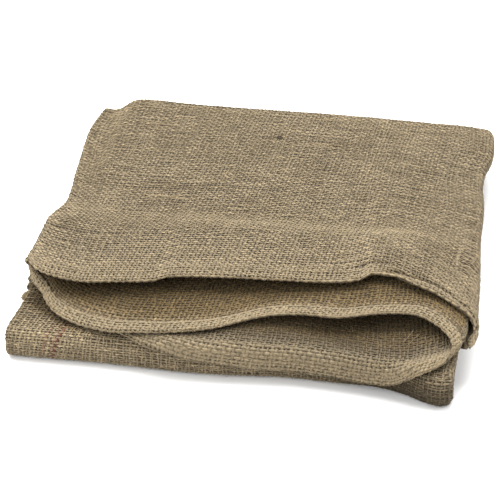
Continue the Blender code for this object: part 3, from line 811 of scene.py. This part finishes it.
def jute_yarn(name, colour):
    """Spun jute: fibres twisted round the yarn, tone from yarn to yarn, flecks of bark."""
    look = Look(name, 0.15)
    maths = look.maths
    look.shader["Sheen Weight"].default_value = 0.05
    look.shader["Sheen Roughness"].default_value = 0.5
    fine, broad = look.noise(1500.0, 3.0, 0.65), look.noise(22.0, 4.0, 0.6)
    fleck = look.noise(430.0, 2.0)
    # the fibres of a yarn lie in steep turns round it
    turns = maths("MULTIPLY", look.mark("round"), TWIST_ROUND)
    turns = maths("MULTIPLY_ADD", look.mark("run"), TWIST, turns)
    strands = maths("SINE", maths("ADD", turns, maths("MULTIPLY", fleck, 5.0)))
    level = maths("MULTIPLY_ADD", fine, 0.60, 0.70)
    for source, by, least in ((broad, 0.18, 0.91), (fleck, 1.00, 0.50), (strands, 0.06, 1.0)):
        level = maths("MULTIPLY", level, maths("MULTIPLY_ADD", source, by, least))
    # the tone mark brings painted shade at crossings, in the crease, the mouth and on the fold, and
    # painted light on the fold's left
    level = maths("MULTIPLY", level, look.mark("tone"))
    result = look.mixed(fleck, tinted(colour, (0.97, 1.0, 1.06)),
                        tinted(colour, (1.03, 1.0, 0.92)))
    # painted shade: browner deep in the mouth, in the crease and under the lips
    result = look.mixed(look.mark("age"), result, tinted(colour, SHADE_TINT))
    result = look.mixed(look.mark("dye"), result, (*RED, 1.0))
    scaled = look.node("VectorMath", operation="SCALE")
    look.put(scaled.inputs[0], result)
    look.put(scaled.inputs["Scale"], level)
    height = maths("MULTIPLY_ADD", strands, 0.35, fine)
    return look.finish(scaled.outputs[0], fine, 0.78, 0.98, look.bump(height, 0.7, 0.00022))


def jute_cloth(name):
    """The cloth between and behind the yarns, painted dark as shade in their holes; woven in relief
    where bare.
    """
    look = Look(name, 0.2)
    maths = look.maths
    split = look.node("SeparateXYZ", {0: look.mark("weave", "Vector")}).outputs
    fine, broad = look.noise(900.0, 4.0, 0.7), look.noise(26.0, 4.0)
    cu, cv = (maths("COSINE", maths("MULTIPLY", source, math.pi)) for source in split[:2])
    over = maths("ABSOLUTE", maths("MULTIPLY", cu, cv))
    ridge = maths("MAXIMUM", maths("ABSOLUTE", cu), maths("ABSOLUTE", cv))
    relief = maths("MULTIPLY_ADD", over, 0.8, maths("MULTIPLY", ridge, 0.6))
    level = maths("MULTIPLY_ADD", relief, 0.55, maths("MULTIPLY", fine, 0.35))
    level = maths("MULTIPLY_ADD", broad, 0.25, level)
    woven = look.ramp(level, ((0.036, 0.027, 0.015), (0.195, 0.152, 0.092)), (0.25, 1.0))
    # the red threads of the stripe run on where the cloth lies bare
    off = maths("ABSOLUTE", maths("SUBTRACT", split[0], STRIPE_U))
    stripe = maths("MULTIPLY", maths("LESS_THAN", off, STRIPE_HALF), 0.7)
    woven = look.mixed(stripe, woven, (*RED, 1.0))
    # painted shade: where yarns cover the sheet it is nearly black, as the holes between them lie
    # in shadow
    dark = look.ramp(fine, ((0.024, 0.017, 0.009), (0.080, 0.058, 0.033)))
    relief_normal = look.bump(relief, 0.8, 0.0008)
    return look.finish(look.mixed(look.mark("bare"), dark, woven), fine, 0.82, 0.98,
                       look.bump(fine, 0.5, 0.0003, Normal=relief_normal))


# ---- the sheet ----
def at_of(u, outer):
    """`at` of the CAD's tables, from a place in warps."""
    turn = TURN_WARPS[outer]
    u = np.asarray(u, float)
    return np.where(u <= WARPS, u / WARPS,
                    np.where(u < WARPS + turn, 1.0 + (u - WARPS) / turn,
                             2.0 + (u - WARPS - turn) / WARPS))


def row_table():
    """v of each stretch's ends: mouth and top pass together, then the others."""
    table, v, place = [], 0.0, 0
    for count, end in zip(ROWS, ENDS[1:]):
        table.append((v, v + count, place, end))
        v, place = v + count, end
    return table


def make_paths():
    """u and dense places of the outer and the inner path, two columns for each warp."""
    out = {}
    for outer in (True, False):
        end = 2 * WARPS + TURN_WARPS[outer]
        u = np.linspace(0.0, end, 2 * end + 1)
        places = Path(outer, at_of(u, outer)).places()
        out[outer] = (u, even_warps(u, places, end, STRETCHES[0] + 10))
    return out


def sheet_columns(outer):
    """The warps that the sheet's columns follow, closer together near its sides."""
    turn = TURN_WARPS[outer]
    middle = np.linspace(WARPS, WARPS + turn, 9)[1:-1]
    return np.r_[COLUMNS, middle, [2 * WARPS + turn - h for h in reversed(COLUMNS)]].astype(float)


def sheet_ring(paths):
    """Columns of places round the sack, with u of each; also how many are outer and inner."""
    starts = [0, *ENDS[:-1]]
    steps = np.unique(np.concatenate([
        np.linspace(*span) for span in zip(starts, ENDS, SHEET_ROWS)]).round().astype(int))
    rows_v = np.interp(steps, [0, *ENDS[1:]], [0, *np.cumsum(ROWS)])
    rings, tags = [], []
    for outer in (True, False):
        u = sheet_columns(outer)
        dense_u, places = paths[outer]
        k = np.clip(np.searchsorted(dense_u, u, side="right") - 1, 0, len(dense_u) - 2)
        part = ((u - dense_u[k]) / (dense_u[k + 1] - dense_u[k]))[:, None, None]
        rings.append(list((places[k] * (1 - part) + places[k + 1] * part)[:, steps]))
        tags.append(u)
    outer, inner = rings
    seams = seam_arc(outer[-1], inner[-1], SEAM_STEPS), seam_arc(inner[0], outer[0], SEAM_STEPS)
    ring = np.array(outer + seams[0] + inner[::-1] + seams[1])
    beyond = 0.6 * np.arange(1, SEAM_STEPS)
    u_ring = np.r_[tags[0], tags[0][-1] + beyond, INNER_MARK + tags[1][::-1], -beyond[::-1]]
    # it lies a little behind the yarns, on the side that doesn't show
    behind = np.zeros(len(ring))
    behind[:len(outer)] = -1.0
    lip_start = len(outer) + SEAM_STEPS - 1
    behind[lip_start:lip_start + len(inner)] = np.clip(
        (WARPS + 1 - tags[1][::-1]) / 8.0, -1.0, 1.0)
    around = np.roll(ring, -1, 0) - np.roll(ring, 1, 0)
    normals = unit(np.cross(around, np.gradient(ring, axis=1)))
    ring = ring + normals * (behind * SHEET_BEHIND)[:, None, None]
    return ring, normals, u_ring, rows_v, len(outer), len(inner)


def sheet_piece(paths, material):
    """The cloth itself: one closed thin sheet right round the sack."""
    ring, normals, u_ring, rows_v, pair, inner_n = sheet_ring(paths)
    around, along = ring.shape[:2]
    inside, outside = ring - normals * SHEET_HALF, ring + normals * SHEET_HALF
    inside[:, -1, 1] -= 0.0004          # keeps the two faces of the bottom apart
    verts = np.concatenate([outside.reshape(-1, 3), inside.reshape(-1, 3)])
    here = np.arange(around * along).reshape(around, along)
    there = np.roll(here, -1, 0)
    other = around * along              # from a place outside to the same one inside
    quads = np.stack([here[:, :-1], here[:, 1:], there[:, 1:], there[:, :-1]], -1).reshape(-1, 4)
    rim = np.stack([here[:, 0], there[:, 0], there[:, 0] + other, here[:, 0] + other], -1)
    faces = quads.tolist() + (quads[:, ::-1] + other).tolist() + rim.tolist()
    # the closed bottom: each outer column meets its inner one
    last = here[:, -1].tolist()
    arc = SEAM_STEPS - 1
    out, low = last[:pair], last[pair:pair + arc]
    inn, top = last[pair + arc:pair + arc + inner_n][::-1], last[pair + arc + inner_n:]
    bottom = [(top[1], top[2], out[0]), (top[1], out[0], inn[0]), (top[1], inn[0], top[0]),
              (low[1], low[2], inn[-1]), (low[1], inn[-1], out[-1]), (low[1], out[-1], low[0])]
    bottom += [(out[k], out[k + 1], inn[k + 1], inn[k]) for k in range(pair - 1)]
    for shift, way in ((0, 1), (other, -1)):
        faces += [[corner + shift for corner in face][::way] for face in bottom]
    mesh = bpy.data.meshes.new("sack_sheet")
    mesh.from_pydata(verts.tolist(), [], faces)
    mesh.validate()
    mesh.update()
    u, v = np.repeat(u_ring, along), np.tile(rows_v, around)
    for name, kind, key, values in (
            ("weave", "FLOAT_VECTOR", "vector", np.stack([u, v, np.zeros_like(u)], -1)),
            ("bare", "FLOAT", "value", bare_cloth(u, v))):
        layer = mesh.attributes.new(name, kind, "POINT")
        layer.data.foreach_set(key, np.concatenate([values, values]).astype(np.float32).ravel())
    return place_piece("sack_sheet", mesh, material)


def bare_cloth(u, v):
    """1 where the sheet carries no yarns of its own, 0 where they cover it and it is painted dark
    as shade.

    At the hem its second ply shows between the yarns, so there it isn't dark.
    """
    inner = u < INNER_MARK / 2
    turn = (u > WARPS - 2) & (u < WARPS + TURN_WARPS[True] + 3)
    top = (u <= WARPS) & (v < TOP_END - 1)
    nose = ((u >= WARPS + 3) & (v < NOSE_END)
            & ((v > NOSE_SEEN) | (u > NOSE_LEFT) & (v > NOSE_START)))
    mouth = inner & (v < 40)
    covered = (~inner & (turn | top | nose) | mouth) & (v > HEM_END)
    return np.where(covered, np.where(mouth, 0.16, 0.0), np.where(v <= HEM_END, 0.75, 1.0))


# ---- build ----
paths = make_paths()
yarn = jute_yarn("jute_yarn", JUTE)
cloth_material = jute_cloth("jute_cloth_bare")
sheet = sheet_piece(paths, cloth_material)

rows = row_table()
u_outer, dense_outer = paths[True]
u_inner, dense_inner = paths[False]
top_arc = seam_arc(dense_outer[0], dense_inner[0], SEAM_STEPS)
low_arc = seam_arc(dense_outer[-1], dense_inner[-1], SEAM_STEPS)
beyond = np.array([0.6, 1.2, 1.8, 2.4])       # u of the columns round a sewn side
# the outer layers and, at both ends, on round the sewn sides to the inner ones
wide_u = np.r_[-beyond[::-1], u_outer, u_outer[-1] + beyond]
wide_places = np.concatenate([np.stack([dense_inner[0], *top_arc[::-1]]), dense_outer,
                              np.stack([*low_arc, dense_inner[-1]])])


def hem_roll(u, v):
    """The hem rolls under at the right of the mouth, with a crease behind the roll."""
    share = band(u, 84.0, 7.0, 107.0, 8.0)
    v = np.abs(v)
    crease = np.maximum(3.7 - 1.6 * ((u - 98.0) / 9.0) ** 2, 1.5)
    return share * (0.0012 * hump(v, crease - 2.2, 1.4) - 0.0026 * hump(v, crease, 0.75))


outer_cloth = Cloth(wide_u, wide_places, rows, True, hem_roll)
outer_cloth.slant(0.090)


class InnerCloth(Cloth):
    """The two inner lips, whose wefts lie close at the hem and wider apart behind it."""

    weft, outward = INNER_WEFT_PITCH, -1.0
    wider, wider_from = 0.24, 0.022     # share by which they part, past this distance

    def stops(self, length, rows):
        stops, rise = self.hem_stops()
        more = self.wider * np.maximum(stops - self.wider_from, 0.0) * (self.v > 0.0)
        return stops + more, rise


inner_cloth = InnerCloth(u_inner, dense_inner, [(0.0, 44.0, 0, 0)], True)

TOP_PATCHES = [Patch(*row) for row in (
    (-0.083, 0.028, 0.028, 0.008, 0.42),
    (-0.048, 0.029, 0.008, 0.006, 0.45),
    (-0.082, -0.037, 0.026, 0.017, 0.45),
    (-0.047, -0.031, 0.012, 0.01, 0.35),
    (-0.016, -0.006, 0.012, 0.012, 0.35),
    (-0.129, -0.052, 0.012, 0.014, 0.45),
    (0.047, 0.111, 0.026, 0.01, 0.4),
    (0.029, 0.038, 0.01, 0.012, 0.45),
    (0.106, 0.042, 0.01, 0.022, 0.4),
    (0.135, -0.045, 0.016, 0.018, 0.55),
    (0.074, -0.046, 0.034, 0.016, -0.45),
    (0.086, -0.01, 0.012, 0.01, -0.35),
    (0.055, 0.005, 0.014, 0.01, -0.35),
    (-0.097, -0.004, 0.018, 0.01, -0.35),
    (-0.099, -0.086, 0.03, 0.012, -0.4),
    (0.002, -0.07, 0.03, 0.012, -0.3),
    (0.086, 0.151, 0.07, 0.012, -0.3),
)]
MOUTH_PATCHES = [Patch(*row) for row in (
    (-0.046, -0.119, 0.026, 0.01, 0.4),
    (0.021, -0.129, 0.016, 0.01, 0.35),
    (0.064, -0.13, 0.022, 0.01, 0.45),
    (0.115, -0.127, 0.014, 0.014, 0.4),
    (0.075, -0.09, 0.03, 0.01, -0.3),
)]
NOSE_PATCHES = [Patch(*row) for row in (
    (0.12, -0.156, 0.03, 0.02, 0.5),
    (0.02, -0.154, 0.06, 0.012, 0.2),
    (-0.128, -0.145, 0.028, 0.03, -0.4),
)]

turn = TURN_WARPS[True]
last_row = int(rows[-1][1])
u_last = 2 * WARPS + turn      # last warp of the outer path


def top_warps(u, v):
    return (v <= TOP_END) | ((u >= WARPS - 1) & (u <= WARPS + turn + 2))


def top_wefts(u, v):
    return (v <= TOP_END) & (u <= WARPS + turn + 8) | (u >= WARPS - 1) & (u <= WARPS + turn + 2)


def near_hem(u, v):
    """The hem's two plies close its weave."""
    return 1.0 - ease((np.abs(v) - 4.0) / 1.6)


def lip_tight(u, v):
    """Behind its hem a lip's weave opens over a few wefts."""
    return 1.0 - ease((np.abs(v) - 4.0) / np.where(u > WARPS + 1, 7.0, 3.0))


def crease_shade(u, v):
    """Painted shade, browner, in the crease behind the rolled hem; fainter in the row of holes."""
    crease = np.maximum(3.7 - 1.6 * ((u - 102.0) / 9.0) ** 2, 1.5)
    dark = 0.55 * hump(v, crease + 0.2, 0.55) * band(u, 88.0, 5.0, 108.0, 6.0)
    row = band(u, 80.0, 4.0, 100.0, 4.0) * hump(v, 5.5, 0.4)
    return dark + 0.10 * row, 1.2 * dark


def top_gaps(u, v):
    """A row of holes over the hem's sewing, and a short run of parted warps."""
    closed = 0.35 * hump(v, 5.0, 8.0) * (1.0 - ease((u - 74.0) / 8.0))
    holes = hump(v, 5.5, 0.9) * band(u, 82.0, 3.0, 100.0, 3.0)
    run = hump(u, 64.0, 0.8) * hump(v, 68.0, 4.0)
    return 1.2 * holes + 0.7 * run - closed


def sewn_row(u, v):
    """Behind the sewn hem the wefts are drawn apart, which leaves a row of holes."""
    share = band(u, 79.0, 4.0, 100.0, 4.0)
    return 0.60 * share * (v >= 6.0) * np.exp(-np.maximum(v - 6.0, 0.0) / 6.0)


def lip_gaps(u, v):
    """A few open holes along the sewing of the lowest lip; the upper lip is closer woven."""
    closed = np.where(u < WARPS + 1, 0.16, -0.14 * hump(v, 12.0, 6.0))
    return 0.25 * hump(v, 5.6, 0.6) * band(u, 166.0, 4.0, 182.0, 4.0) - closed


def stripe(u, v):
    """How much red is in each warp: a stripe of three near the sack's lower side seam."""
    return 1.00 * hump(u, 209.0, 0.5) + 0.45 * hump(u, 210.0, 0.35) + 0.50 * hump(u, 212.0, 0.5)


def inside_face(u, v):
    """The upper inner lip shows the sack's inside, so its yarns are seen from there."""
    return np.where((u < WARPS + 1) & (v > 0.0), -1.0, 1.0)


def mouth_shade(u, v):
    """Painted shade well inside the mouth: the cloth darker and browner behind the lips' hems."""
    upper = ease((v - 2.0) / 8.5) * (u < WARPS + 1)
    lower = ease((v - 3.0) / 9.0) * (u >= WARPS + 1)
    return 0.50 * upper + 0.56 * lower, upper + 0.85 * lower * ease((v - 8.0) / 8.0)


def nose_shade(u, v):
    """Painted shade on the fold: under the lips, at its right and bottom. Painted light at its
    left.
    """
    # painted shadow of the lips along the fold's left end
    off = v - (223.5 + 0.75 * (218.0 - u))
    dark = 0.58 * (1.0 - ease((off + 0.5) / 5.0)) * ease((u - 199.0) / 11.0)
    right = 1.0 - ease((u - 112.0) / 45.0)
    # painted shade, darker towards the fold's right and along its bottom edge
    fold_shade = (0.12 + 0.32 * ease((v - 232.0) / 14.0)) * right + 0.06 * hump(v, 244.0, 2.2)
    # painted shadow under the right end of the lowest lip
    dark = dark + 0.36 * hump(u, 128.0, 13.0) * ease((v - 236.0) / 7.0)
    # painted light on the left of the fold's front
    light = 0.16 * ease((u - 140.0) / 50.0) * ease((v - 230.0) / 6.0)
    return dark + fold_shade - light, 1.2 * dark


def nose_pull(u, v):
    """Near its left end the fold is pulled, so that its warps and the stripe lean."""
    return 0.20 * (np.clip(v, 220.0, 250.0) - 243.0) * hump(u, 209.0, 9.0)


def nose_yarns(u, v):
    return (v >= NOSE_SEEN) | (u > NOSE_LEFT)


def top_calm(u, v):
    return 0.35 * near_hem(u, v) + 0.30 * (1.0 - ease((np.abs(v) - 4.0) / 16.0))


def lip_calm(u, v):
    """The sewn edge of a lip is worn smooth; on the lowest one so are the yarns behind it."""
    return np.maximum(0.65 * near_hem(u, v), 0.68 * hump(v, 9.0, 6.0) * (u > WARPS + 1))


def side_yarns(u, v):
    return (u < WARPS + turn) | (v < NOSE_SEEN) | (v >= NOSE_END)


def seam_warps(u, v):
    return (u > u_last) | (v < NOSE_START) | (v >= NOSE_END)


# tones over, between and under a crossing, for the warps and the wefts; darker between
# and under is painted shade where a yarn dives under, and the wefts are lighter than the warps
TOP_TONES = (0.76, 0.50, 0.52), (1.34, 1.18, 0.86)
MOUTH_TONES = (1.10, 0.86, 0.74), (1.14, 1.00, 0.76)
NOSE_TONES = (1.07, 0.87, 0.78), (1.24, 1.14, 0.88)
SIDE_TONES = (1.07, 0.87, 0.78), (1.20, 1.10, 0.86)

top = weave(outer_cloth, "yarn_top", np.arange(-2, WARPS + turn + 8), np.arange(-4, TOP_END), 3,
            TOP_PATCHES, top_warps, top_wefts, tight=near_hem, gaps=top_gaps, parted=sewn_row,
            deep=crease_shade, calm=top_calm, halves=2, base=0.38, wefts_thin=0.94, tones=TOP_TONES)
mouth = weave(inner_cloth, "yarn_mouth", np.arange(2 * WARPS + 3), np.arange(-4, 29), 11,
              MOUTH_PATCHES, tight=lip_tight, gaps=lip_gaps, deep=mouth_shade, face=inside_face,
              calm=lip_calm, base=0.46, pairs=0.2, sides=4, tones=MOUTH_TONES)
nose = weave(outer_cloth, "yarn_nose", np.arange(WARPS + turn - 1, u_last + 3),
             np.arange(NOSE_START, NOSE_END), 23, NOSE_PATCHES, nose_yarns, nose_yarns,
             pull=nose_pull, stain=stripe, deep=nose_shade, base=0.50, pairs=0.2, thin=0.88,
             wefts_thin=0.80, tones=NOSE_TONES)
side = weave(outer_cloth, "yarn_side", np.arange(WARPS - 1, WARPS + turn + 3),
             np.arange(TOP_END, last_row), 31, (), side_yarns, side_yarns, deep=nose_shade,
             base=0.45, pairs=0.2, thin=0.90, wefts_thin=0.85, tones=SIDE_TONES)
seam_a = weave(outer_cloth, "yarn_seam_upper", np.arange(-2, 2),
               np.arange(TOP_END + 1, last_row), 41, ())
seam_b = weave(outer_cloth, "yarn_seam_lower", np.arange(u_last - 1, u_last + 3),
               np.arange(-4, last_row), 43, (), seam_warps, seam_warps)


# ---- sewing ----
def thread(cloth, u, v, rise, wide, tubes, rng, tone=1.0):
    """Lengths of twine over the cloth, at u and v and a rise, each (lines, places)."""
    centre = cloth.read(cloth.spots, u, v)
    up = unit(cloth.read(cloth.ups, u, v))
    shade = tone * (1.0 + rng.normal(0.0, 0.10, (len(u), 1)) + rng.normal(0.0, 0.05, u.shape))
    width = wide * (1.0 + rng.normal(0.0, 0.10, u.shape))
    tubes.add(centre + up * rise[..., None], up, width, width * 0.8, shade)


STITCH_PITCH, STITCH_LONG = 2.5, 1.8      # of the hem's stitches, in warps
OVERCAST_PITCH = 2.4                      # of the side seams' stitches, in wefts
HEM_THREAD, SEAM_TWINE = 0.00095, 0.00080
LUMP_ARCS, LUMP_YARN = 7, 0.0018          # yarns, bent one in another, of a turned end


def running_stitch(cloth, first, last, row, tubes, rng):
    """Stitches along a hem, each nearly two warps long and sunk at its ends."""
    start = np.arange(first, last, STITCH_PITCH)
    part = np.linspace(0.0, 1.0, 5)
    u = start[:, None] + STITCH_LONG * part + rng.normal(0.0, 0.12, (len(start), 1))
    v = row + 0.12 * np.sin(start * 0.35)[:, None]
    v = v + rng.normal(0.0, 0.10, (len(start), 1)) + 0.0 * part
    rise = 0.00074 - 0.0013 * (2.0 * part - 1.0) ** 4 + 0.0 * u
    thread(cloth, u, v, rise, HEM_THREAD, tubes, rng, 1.08)


def overcast(cloth, inside, outside, first, last, tubes, rng):
    """Twine stitched round a sewn side."""
    start = np.arange(first, last, OVERCAST_PITCH)
    start = start + rng.normal(0.0, 0.25, len(start))
    part = np.linspace(0.0, 1.0, 9)
    u = mix(inside, outside, part) + rng.normal(0.0, 0.10, (len(start), 1))
    v = start[:, None] + 1.0 * part + rng.normal(0.0, 0.15, (len(start), 1))
    rise = 0.00055 - 0.0010 * (part < 0.05) + rng.normal(0.0, 0.00012, (len(start), 1))
    thread(cloth, u, v, rise + 0.0 * u, SEAM_TWINE, tubes, rng, 0.95)


def turned_end(root, tip, wide, tubes, rng):
    """A bit of turned cloth that sticks out of a seam: yarns bent round, one in another."""
    root, tip = np.array(root), np.array(tip)
    across, toward = np.array((-0.08, 0.52, 0.85)) * wide, np.array((0.13, -0.84, 0.53))
    size = np.repeat(np.linspace(0.08, 1.0, LUMP_ARCS), 2)[:, None, None]
    angle = np.linspace(0.0, math.pi, 11)[None, :, None]
    line = root + across * np.cos(angle) * size + (tip - root) * np.sin(angle) * size
    behind = (np.arange(2 * LUMP_ARCS) % 2)[:, None, None]
    line = line + toward * (0.0016 * (1.0 - size) - 0.0012 * behind)
    line = line + rng.normal(0.0, 0.00022, line.shape)
    width = LUMP_YARN * (1.0 + rng.normal(0.0, 0.12, line.shape[:2]))
    tone = 0.92 + rng.normal(0.0, 0.12, line.shape[:2])
    tubes.add(line, np.broadcast_to(toward, line.shape), width, width * 0.8, tone)


rng = np.random.default_rng(77)
hem_thread = Tubes("thread_hem", 4)
for row in (3.5, -3.5):
    running_stitch(outer_cloth, 1.0, u_last - 3.0, row, hem_thread, rng)
    running_stitch(inner_cloth, 1.0, 2.0 * WARPS - 1.0, row, hem_thread, rng)
seam_thread = Tubes("thread_seam", 4)
overcast(outer_cloth, 2.2, -2.4, 0.0, last_row - 2.0, seam_thread, rng)
overcast(outer_cloth, u_last - 2.2, u_last + 2.4, 0.0, last_row - 2.0, seam_thread, rng)
turned_end((-0.1385, -0.0955, 0.0212), (-0.1476, -0.0985, 0.0216), 0.0048, seam_thread, rng)
turned_end((-0.1405, -0.1050, 0.0192), (-0.1490, -0.1078, 0.0188), 0.0034, seam_thread, rng)
# a knot of dark bark, a dark strand and a few thick light wefts on the top
Bark = namedtuple("Bark", "v u along_u along_v tone")
for bark in (Bark(84.5, 48.0, 1.6, 1.1, 0.25), Bark(83.6, 48.6, 1.6, 0.2, 0.35),
             Bark(66.0, 64.8, 0.1, 5.2, 0.55)):
    part = np.linspace(0.0, 1.0, 6)[None, :]
    thread(outer_cloth, bark.u + bark.along_u * part, bark.v + bark.along_v * part,
           0.00085 - 0.0006 * (2.0 * part - 1.0) ** 4, 0.0009, seam_thread, rng, bark.tone)
ThickWeft = namedtuple("ThickWeft", "v u long")
for weft in (ThickWeft(82.0, 57.0, 11.0), ThickWeft(88.0, 12.0, 9.0), ThickWeft(73.0, 84.0, 8.0),
             ThickWeft(47.0, 22.0, 10.0)):
    part = np.linspace(0.0, 1.0, 24)[None, :]
    rise = 0.00078 - 0.0008 * (2.0 * part - 1.0) ** 8 - 0.0003 * (np.arange(24) % 2)[None]
    thread(outer_cloth, weft.u + weft.long * part, weft.v + 0.1 * np.sin(5.0 * part), rise, 0.0012,
           seam_thread, rng, 1.22)


# ---- loose fibres ----
def fibres(cloth, u, v, long, tubes, rng, lift=0.0010, thick=0.00012, outward=False):
    """Single fibres that stand off the cloth, each a thin curved tube."""
    part = np.linspace(0.0, 1.0, 5)
    column = (len(u), 1)
    heading = rng.uniform(0.0, 2.0 * math.pi, column) + rng.normal(0.0, 0.9, column) * part
    step = long[:, None] / 4.0
    ahead, aside = (np.concatenate([np.zeros(column), np.cumsum(step * way(heading[:, 1:]), 1)], 1)
                    for way in (np.cos, np.sin))
    if outward:
        ahead, aside = 0.4 * ahead, 0.2 * aside
        rise = 0.0004 + long[:, None] * 0.45 * part
    else:
        rise = 0.0006 + lift * np.sin(math.pi * part * rng.uniform(0.5, 1.0, column))
    at_u = u[:, None] + ahead / WARP_PITCH
    at_v = np.maximum(v[:, None] + aside / WEFT_PITCH, cloth.v[0])
    centre = cloth.read(cloth.spots, at_u, at_v)
    up = unit(cloth.read(cloth.ups, at_u, at_v))
    width = np.full(at_u.shape, thick) * np.linspace(1.1, 0.7, 5)
    tone = 1.20 * (1.0 + rng.normal(0.0, 0.12, column)) + 0.0 * at_u
    tubes.add(centre + up * rise[..., None], up, width, width, tone)


fuzz = Tubes("fibres", 3)

# where, how many, over which u and v, and what they are like
for cloth, count, u_span, v_span, kind in (
        (outer_cloth, 1450, (0, 118), (0, 112), {}),
        (inner_cloth, 600, (1, 217), (0, 28), {}),
        (outer_cloth, 360, (114, 220), (220, 250), {}),
        (outer_cloth, 120, (0, 116), (-0.2, 0.4), {"outward": True}),
        (inner_cloth, 200, (1, 217), (-0.2, 0.4), {"outward": True}),
        (outer_cloth, 120, (-1.8, 0.5), (0, 230), {"lift": 0.002}),
        (outer_cloth, 120, (220.5, 223), (0, 250), {"lift": 0.002})):
    long = rng.uniform(0.0015, 0.0050, count)
    fibres(cloth, rng.uniform(*u_span, count), rng.uniform(*v_span, count), long, fuzz, rng, **kind)


def strand(cloth, places, thick, tubes):
    """One long loose fibre over a cloth, through a few places (u, v, height)."""
    places = np.array(places, float)
    line = along_line(np.linspace(0, len(places) - 1, 9), np.arange(len(places)), places)
    smooth = line.copy()
    smooth[1:-1] = (line[:-2] + 2 * line[1:-1] + line[2:]) / 4
    u, v, rise = (smooth[None, :, k] for k in range(3))
    up = unit(cloth.read(cloth.ups, u, v))
    width, tone = np.full((1, 9), thick), np.full((1, 9), 1.45)
    tubes.add(cloth.read(cloth.spots, u, v) + up * rise[..., None], up, width, width, tone)


# long fibres in the hollow of the mouth, as u, v and height over the lowest lip
for thick, places in (
        (0.00030, ((124.9, 20.5, 0.0010), (125.1, 19.0, 0.0022), (125.8, 17.2, 0.0026),
                   (127.4, 14.8, 0.0010))),
        (0.00034, ((139.0, 20.0, 0.0010), (138.8, 18.6, 0.0020), (138.5, 17.4, 0.0010))),
        (0.00024, ((123.4, 17.6, 0.0010), (124.6, 16.2, 0.0018), (126.6, 13.2, 0.0010))),
        (0.00036, ((121.0, 10.8, 0.0010), (119.4, 9.9, 0.0016), (117.4, 8.6, 0.0010))),
        (0.00030, ((120.8, 9.6, 0.0010), (119.2, 8.6, 0.0014), (117.6, 7.5, 0.0010)))):
    strand(inner_cloth, places, thick, fuzz)

pieces = [tubes.build(yarn) for tubes in (*top, *mouth, *nose, *side, *seam_a, *seam_b, hem_thread,
                                          seam_thread, fuzz)]

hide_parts("sack_cloth")
for piece in (sheet, *pieces):
    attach(piece, "root")

# ---- floor, light and camera ----
floor_mesh = bpy.data.meshes.new("floor")
floor_mesh.from_pydata([(-4, -4, 0), (4, -4, 0), (4, 4, 0), (-4, 4, 0)], [], [(0, 1, 2, 3)])
floor = bpy.data.objects.new("floor", floor_mesh)
bpy.context.scene.collection.objects.link(floor)
white = bpy.data.materials.new("floor_white")
white.use_nodes = True
for key, value in (("Base Color", (0.93, 0.93, 0.93, 1)), ("Roughness", 0.9),
                   ("Specular IOR Level", 0.0)):
    white.node_tree.nodes["Principled BSDF"].inputs[key].default_value = value
floor_mesh.materials.append(white)


def lamp(name, place, size, power):
    """A soft area lamp that looks at the middle of the frame."""
    light = bpy.data.lights.new(name, "AREA")
    light.shape, light.size, light.size_y, light.energy = "RECTANGLE", size[0], size[1], power
    lamp_object = bpy.data.objects.new(name, light)
    aim = (Vector((0.0, 0.0, 0.0)) - Vector(place)).to_track_quat("-Z", "Y")
    lamp_object.matrix_world = Matrix.Translation(place) @ aim.to_matrix().to_4x4()
    bpy.context.scene.collection.objects.link(lamp_object)


lamp("key", (-0.45, 0.70, 1.55), (2.4, 2.0), 140.0)
lamp("front", (-0.80, -1.30, 1.35), (1.6, 1.2), 25.0)
lamp("fill", (0.20, -1.75, 0.80), (1.8, 0.9), 10.0)
lamp("right", (1.50, 0.10, 1.30), (1.2, 1.2), 24.0)
world = bpy.data.worlds.new("studio")
world.use_nodes = True
world.node_tree.nodes["Background"].inputs["Color"].default_value = (1.0, 1.0, 1.0, 1.0)
world.node_tree.nodes["Background"].inputs["Strength"].default_value = 0.08
bpy.context.scene.world = world
bpy.context.scene.view_settings.view_transform = "Standard"

AZIMUTH, TILT = math.radians(9.0), math.radians(32.0)
CAMERA_PLACE = (0.145, -0.976, 0.621)
back = Vector((math.sin(AZIMUTH) * math.cos(TILT), -math.cos(AZIMUTH) * math.cos(TILT),
               math.sin(TILT)))
right = Vector((math.cos(AZIMUTH), math.sin(AZIMUTH), 0.0))
pose = Matrix((right, back.cross(right), back)).transposed().to_4x4()
pose.translation = CAMERA_PLACE
camera_data = bpy.data.cameras.new("camera")
camera_data.sensor_width, camera_data.lens = 36.0, 115.2
camera = bpy.data.objects.new("camera", camera_data)
camera.matrix_world = pose
bpy.context.scene.collection.objects.link(camera)
bpy.context.scene.camera = camera
